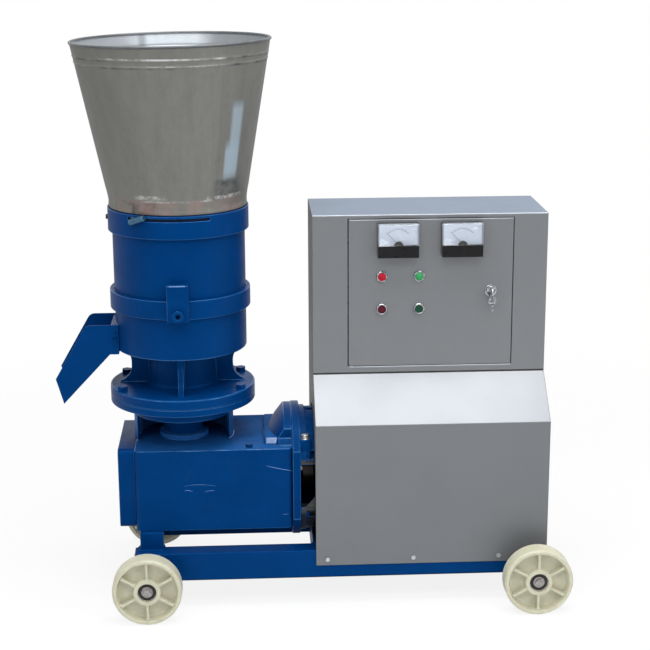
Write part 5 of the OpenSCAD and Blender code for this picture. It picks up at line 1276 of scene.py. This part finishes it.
@dataclass
class Drive:
    """Gearbox, coupling and motor.

    lantern and lantern_wide bound the lantern's inside, painted a lighter blue as fill light,
    flange_bolts the bolts that are painted over, and window_top and window_in the black
    paint on the bell's lower front, painted shade in its window.
    """

    edge: float = 2.0 * MM
    cast_edge: float = 1.6 * MM
    top: float = 400 * MM
    lantern: Span = (403 * MM, 468 * MM)
    lantern_wide: Span = (-500 * MM, -150 * MM)
    flange_bolts: Span = (-200 * MM, 20 * MM)
    window_top: float = 370 * MM
    window_in: float = -60 * MM

    def build(self) -> None:
        """Builds the housings and what turns in them."""
        # The gearbox's top takes the lighter blue, painted light.
        top = Patch(BLUE_TOP_LIT, z=(self.top - MM, self.top + MM))
        # The lantern's inside takes a lighter blue, painted fill light.
        inside = Patch(BLUE_INSIDE_LIT, x=self.lantern_wide, z=self.lantern)
        # The bell's lower front takes black, painted shade in its window.
        window_shade = Patch(BLACK_PAINT, y=(-FAR, self.window_in), z=(0.0, self.window_top))
        eased("gearbox_housing", BLUE_CAST, top, inside, edge=self.edge, segments=3)
        eased("gearbox_end_cover", BLUE_CAST, edge=self.cast_edge, segments=3)
        eased("gearbox_bolts", ZINC, Patch(BLUE_CAST, x=self.flange_bolts), edge=0.7 * MM)
        eased("coupling_housing", BLUE_CAST, window_shade, edge=self.cast_edge, segments=3)
        eased("ball_bearings", ZINC, edge=0.6 * MM)
        for node in ("motor_frame", "motor_end_shields", "fan_cover"):
            eased(node, BLUE_SHEET)
        eased("terminal_box", BLACK_PAINT, edge=1.5 * MM, segments=3)
        eased("motor_stator", COPPER)
        eased("rotor", STEEL, edge=0.6 * MM)
        eased("shaft_coupling", OILED)
        eased("coupling_spider", SPIDER, edge=0.6 * MM)
        eased("cooling_fan", GREY_MOULD, edge=0.5 * MM)


@dataclass
class BaseFrame:
    """Welded tube frame with its axles."""

    edge: float = 3.0 * MM

    def build(self) -> None:
        """Builds the frame, the axles and the wheels."""
        eased("base_frame", BLUE_SHEET, edge=self.edge, segments=3)
        eased("wheel_axles", ZINC, edge=0.6 * MM)
        eased("axle_bolts", DULL_STEEL)
        for side in ("front_left", "front_right", "rear_left", "rear_right"):
            Wheel("wheel_" + side, side + "_wheel").build()


@dataclass
class Trim:
    """Weld beads, casting fillets, handling marks and painted edge highlights on top of the CAD shapes."""

    bead: float = 3.2 * MM
    ripple: float = 3.6 * MM
    step: float = 0.9 * MM
    rail_top: float = 143 * MM
    rail_out: float = 150.5 * MM
    rail_in: float = 126.5 * MM
    cross_out: float = 125.5 * MM
    cross_half: float = 25 * MM
    cross_drop: float = 40 * MM
    cross_left: float = -412 * MM
    cross_right: float = 548 * MM
    cross_share: float = 0.46
    foot_in: float = 14 * MM
    foot_wide: float = 58 * MM
    fillet: float = 8 * MM
    fillet_sink: float = 2 * MM
    neck: float = 84 * MM
    neck_foot: float = 541 * MM
    neck_top: float = 635 * MM
    face_y: float = -140 * MM
    mark_rise: float = 0.12 * MM
    mark_sink: float = 0.3 * MM
    lug_wide: Span = (-31 * MM, -6 * MM)
    bolt: Place = (-19 * MM, -118 * MM, 420 * MM)
    bolt_radius: float = 10.5 * MM
    bolt_high: float = 9 * MM
    pad_wide: Span = (-120 * MM, -46 * MM)
    worn_and_lit_wide: Span = (-115 * MM, -54 * MM)
    sleeve_high: Span = (402 * MM, 496 * MM)
    sleeve_wall: Span = (41.5 * MM, 47 * MM)
    wear_half: float = 20 * MM
    wear_deep: float = 3 * MM
    wear_high: float = 3.6 * MM
    wear_proud: float = 0.1 * MM

    def weld(self, name: str, path: np.ndarray) -> bpy.types.Object:
        """Lays a weld bead along a line.

        At the distance s along the line the bead is a ring of radius
        bead * (1 + 0.13 * sin(2 pi s / ripple) + 0.08 * sin(0.7 s / ripple)).

        Args:
            name: name of the piece.
            path: corners of the line, rows of three lengths.

        Returns:
            The bead.
        """
        legs = np.linalg.norm(np.diff(path, axis=0), axis=1)
        at = np.r_[0, np.cumsum(legs)]
        d = np.arange(0, at[-1], self.step)
        line = np.stack([np.interp(d, at, path[:, k]) for k in range(3)], 1)
        along = np.gradient(line, axis=0)
        along /= np.linalg.norm(along, axis=1)[:, None]
        up = np.cross(along, np.roll(along, 1, 1) + np.array([0.31, 0.17, 0.93]))
        up /= np.linalg.norm(up, axis=1)[:, None]
        side = np.cross(along, up)
        size = self.bead * (1 + 0.13 * np.sin(ROUND * d / self.ripple) + 0.08 * np.sin(0.7 * d / self.ripple))
        size[[0, -1]] *= 0.4
        u = np.linspace(0, ROUND, 10, endpoint=False)
        ring = np.cos(u)[None, :, None] * up[:, None] + np.sin(u)[None, :, None] * side[:, None]
        shell = Shell().loft(line[:, None] + size[:, None, None] * ring)
        return settle(shell.piece(name, BLUE_SHEET), "frame", Slot.BLUE)

    def frame_welds(self) -> None:
        """Welds the pedestal's feet to the rails and the cross tubes between them."""
        lo, hi = box_of("base_frame")
        foot, heel, top = lo[0] + self.foot_in, lo[0] + self.foot_in + self.foot_wide, self.rail_top
        middle = lo[0] + self.cross_share * (hi[0] - lo[0])
        for side, sign in (("front", -1), ("rear", 1)):
            out, into, y = sign * self.rail_out, sign * self.rail_in, sign * self.cross_out
            path = np.array([(foot, into, top), (foot, out, top), (heel, out, top), (heel, into, top)])
            self.weld("pedestal_weld_" + side, path)
            for name, x in (("left", self.cross_left), ("middle", middle), ("right", self.cross_right)):
                x0, x1, down = x - self.cross_half, x + self.cross_half, top - self.cross_drop
                path = np.array([(x0, y, down), (x0, y, top), (x1, y, top), (x1, y, down)])
                self.weld(f"cross_weld_{name}_{side}", path)

    def ring_fillet(self, name: str, z: float, radius: float, sign: int) -> bpy.types.Object:
        """Adds the hollow of a casting where a round wall meets a flat face.

        The hollow is a quarter circle about (z + sign * fillet, radius + fillet).

        Args:
            name: name of the piece.
            z: height of the flat face.
            radius: radius of the wall.
            sign: 1 when the wall stands above the face, -1 when it hangs below.

        Returns:
            The fillet.
        """
        a = np.linspace(0, math.pi / 2, 8)
        f = self.fillet
        hollow = np.c_[z + sign * f * (1 - np.cos(a)), radius + f * (1 - np.sin(a))]
        inside, under = radius - self.fillet_sink, z - sign * MM
        back = np.array([(z + sign * f, inside), (under, inside), (under, radius + f)])
        shell = Shell().disc(np.concatenate([hollow, back]), (*MILL, 0.0), Axis.Z, 144, closed=True)
        return settle(shell.piece(name, BLUE_CAST), "frame", Slot.BLUE)

    def marks(self) -> None:
        """Scratches and casting lines on the gearbox's front, as thin proud strips.

        Each stroke is the parabola through three points (x, z), given in mm, with
        the half width 0.25 + 0.9 * sin(pi t) times its last number. The three strokes
        along the top edge, near z = 399 mm, are wear and a painted highlight on that edge.
        """
        shell = Shell()
        strokes = (((-117, 356), (-84, 348), (-50, 341), 1.1), ((-322, 307), (-283, 310.5), (-243, 306), 0.5),
                   ((-321, 295), (-311, 296), (-300, 293), 0.7), ((-270, 292), (-257, 294), (-245, 294), 0.7),
                   ((-78, 228), (-70, 227), (-62, 229), 0.6), ((-338, 399), (-300, 398.6), (-262, 399), 0.5),
                   ((-244, 398.8), (-220, 399.1), (-205, 398.7), 0.5),
                   ((-180, 399), (-140, 398.8), (-95, 399), 0.4))
        y0, y1 = self.face_y + self.mark_sink, self.face_y - self.mark_rise
        t = np.linspace(0, 1, 15)[:, None]
        for first, middle, last, half in strokes:
            k0, k1, k2 = np.array([first, middle, last]) * MM
            line = (1 - t) ** 2 * k0 + 2 * t * (1 - t) * (2 * k1 - (k0 + k2) / 2) + t ** 2 * k2
            along = np.gradient(line, axis=0)
            along /= np.linalg.norm(along, axis=1)[:, None]
            across = np.c_[-along[:, 1], along[:, 0]] * (half * MM * (0.25 + np.sin(math.pi * t) * 0.9))
            rows = [line + k * across for k in (-1, 1, 0.7, -0.7)]
            corner = [np.c_[p[:, 0], np.full(15, y), p[:, 1]] for p, y in zip(rows, (y0, y0, y1, y1))]
            shell.loft(np.stack(corner, 1))
        settle(shell.piece("gearbox_scratches_and_edge_highlight", WORN_AND_LIT_BLUE), "frame", Slot.BLUE)

    def lug(self) -> None:
        """Lug on the bell housing's front with its zinc hexagon bolt and washer."""
        lug = outline(np.array([(-98, 400), (-98, 418), (-134, 418), (-134, 364), (-126, 364)]) * MM,
                      np.array([0.5, 3, 4, 3, 0.5]) * MM)
        shell = Shell().bar(lug, Axis.X, *self.lug_wide, ends=1.5 * MM)
        settle(shell.piece("bell_lug", BLUE_CAST), "frame", Slot.BLUE)
        x, y, z = self.bolt
        a = np.radians(np.arange(6) * 60.0 + 10.0)
        hexagon = np.c_[np.cos(a), np.sin(a)] * self.bolt_radius + np.array([x, y])
        washer = np.array([(-2.4, 0), (-2.4, 12.2), (-0.2, 12.2), (0.2, 11.6), (0.2, 0)]) * MM
        shell = Shell().disc(washer + np.array([z, 0]), (x, y, 0.0), Axis.Z, 48)
        head = outline(hexagon, radii=0.8 * MM, steps=3)
        shell.bar(head, Axis.Z, z, z + self.bolt_high, ends=1.0 * MM)
        settle(shell.piece("bell_lug_bolt", ZINC), "frame", Slot.ZINC)

    def pad(self) -> None:
        """Cast pad on the gearbox's top beside the bell, in the lighter top blue as painted light; its
        sloping front edge is painted bright as wear and a painted highlight.
        """
        pad = outline(np.array([(-104, 398), (104, 398), (95, 416), (-95, 416)]) * MM, radii=2.5 * MM)
        worn_and_lit = np.array([(-102.6, 401.5), (-101.3, 401.5), (-94.7, 414.6), (-96.1, 414.6)]) * MM
        shell = Shell().bar(pad, Axis.X, *self.pad_wide, ends=5 * MM)
        shell.bar(outline(worn_and_lit, radii=0.3 * MM), Axis.X, *self.worn_and_lit_wide, ends=0.4 * MM, paint=1)
        settle(shell.piece("bell_pad", BLUE_TOP_LIT, WORN_AND_LIT_EDGE), "frame", Slot.BLUE)

    def pocket_wear(self) -> None:
        """Paint worn off the top edge of the front pocket."""
        lo, hi = box_of("axle_pockets")
        proud, x = self.wear_proud, (lo[0] + hi[0]) / 2
        edge = block(lo[1] - proud, lo[1] + self.wear_deep, hi[2] - self.wear_high, hi[2] + proud,
                     radius=1.5 * MM)
        shell = Shell().bar(edge, Axis.X, x - self.wear_half, x + self.wear_half, ends=0.8 * MM)
        settle(shell.piece("pocket_wear", WORN_AND_LIT_BLUE), "frame", Slot.BLUE)

    def sleeve(self) -> None:
        """Painted sleeve that keeps the bran off the spindle inside the lantern."""
        profile = block(*self.sleeve_high, *self.sleeve_wall, radius=0.8 * MM)
        shell = Shell().disc(profile, (*MILL, 0.0), Axis.Z, 72, closed=True)
        settle(shell.piece("spindle_sleeve", BLUE_CAST), "frame", Slot.BLUE)

    def build(self) -> None:
        """Builds the trim."""
        self.pad()
        self.sleeve()
        self.pocket_wear()
        self.frame_welds()
        self.ring_fillet("neck_foot_fillet", self.neck_foot, self.neck, 1)
        self.ring_fillet("neck_top_fillet", self.neck_top, self.neck, -1)
        self.marks()
        self.lug()


@dataclass
class Studio:
    """Pale floor, soft lamps and the photograph's camera."""

    eye: Place = (-0.1605, -3.8049, 1.6666)
    right: Place = (0.99857, -0.05323, -0.00440)
    up: Place = (0.01763, 0.25069, 0.96791)
    forward: Place = (0.05042, 0.96660, -0.25127)
    focal_px: float = 1564.15
    frame_px: float = 650.0
    sensor: float = 36.0
    white: tuple[float, ...] = (1.0, 1.0, 1.0, 1.0)
    pale: tuple[float, ...] = (0.86, 0.86, 0.86, 1.0)
    sky: float = 0.5
    floor_half: float = 14.0
    floor_near: float = 0.9
    floor_far: float = 2.6
    floor_share: float = 0.86

    def camera(self) -> None:
        """Places the camera that was solved from the photograph's edges."""
        data = bpy.data.cameras.new("photo_camera")
        data.sensor_width = self.sensor
        data.lens = self.sensor * self.focal_px / self.frame_px
        data.clip_start, data.clip_end = 0.05, 60.0
        obj = linked("photo_camera", data)
        turn = Matrix((Vector(self.right), Vector(self.up), -Vector(self.forward))).transposed().to_4x4()
        obj.matrix_world = Matrix.Translation(self.eye) @ turn
        bpy.context.scene.camera = obj

    def world(self) -> None:
        """White to the camera and in reflections, softer as a light."""
        world = bpy.data.worlds.new("studio")
        world.use_nodes = True
        bpy.context.scene.world = world
        net = Nodes(world.node_tree)
        ray = net.add("LightPath").outputs
        shown = net.maths("MAXIMUM", ray["Is Transmission Ray"], ray["Is Glossy Ray"])
        seen = net.maths("MAXIMUM", ray["Is Camera Ray"], shown)
        light = net.add("Background", Color=self.white, Strength=self.sky)
        white = net.add("Background", Color=self.white, Strength=1.0)
        net.add("OutputWorld", Surface=net.shade(seen, light, white))

    def floor(self) -> None:
        """Pale floor that keeps a soft shadow and fades into the background."""
        mesh = bpy.data.meshes.new("floor")
        s = self.floor_half
        mesh.from_pydata([(-s, -s, 0), (s, -s, 0), (s, s, 0), (-s, s, 0)], [], [(0, 1, 2, 3)])
        made = bpy.data.materials.new("pale_floor")
        made.use_nodes = True
        net = Nodes(made.node_tree)
        base = net.add("BsdfDiffuse", Color=self.pale)
        glow = net.add("Emission", Color=self.white, Strength=1.0)
        place = net.add("TexCoord").outputs["Object"]
        away = net.add("VectorMath", {"operation": "LENGTH"}, Vector=place).outputs["Value"]
        fade = net.ramp(away, self.floor_near, self.floor_far, self.floor_share, 1.0)
        share = net.maths("MULTIPLY", net.add("LightPath").outputs["Is Camera Ray"], fade)
        net.add("OutputMaterial", Surface=net.shade(share, base, glow))
        mesh.materials.append(made)
        linked("floor", mesh)

    def lamp(self, name: str, place: Place, target: Place, size: Span, power: float) -> None:
        """Adds one soft rectangular lamp.

        Args:
            name: name of the lamp.
            place: where it stands.
            target: what it points at.
            size: its width and height.
            power: its power in watts.
        """
        data = bpy.data.lights.new(name, "AREA")
        data.shape, data.size, data.size_y = "RECTANGLE", *size
        data.energy = power
        aim = (Vector(target) - Vector(place)).to_track_quat("-Z", "Y")
        linked(name, data).matrix_world = Matrix.Translation(place) @ aim.to_matrix().to_4x4()

    def build(self) -> None:
        """Sets up camera, floor, world and lamps."""
        self.camera()
        self.world()
        self.floor()
        self.lamp("overhead", (0.1, -0.35, 3.0), (0.1, -0.2, 0.0), (2.4, 1.2), 60.0)
        self.lamp("front_top", (0.1, -2.3, 3.1), (0.1, 0.0, 0.5), (3.4, 1.0), 48.0)
        self.lamp("front_left", (-2.6, -3.0, 2.2), (-0.1, 0.0, 0.7), (1.4, 1.4), 20.0)
        self.lamp("right_strip", (2.4, -2.0, 1.6), (-0.2, 0.0, 0.9), (0.5, 1.8), 17.0)
        bpy.context.scene.view_settings.view_transform = "Standard"


def main() -> None:
    """Builds the machine's pieces in order."""
    logging.basicConfig(level=logging.INFO, format="%(message)s")
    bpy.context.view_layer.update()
    for part in (BaseFrame(), Drive(), MillBody(), PressParts(), Hopper(), Cabinet(), Instruments(), Trim(),
                 Studio()):
        part.build()
        LOG.info("built %s", type(part).__name__)
    bpy.context.view_layer.update()


if __name__ == "__main__":
    main()
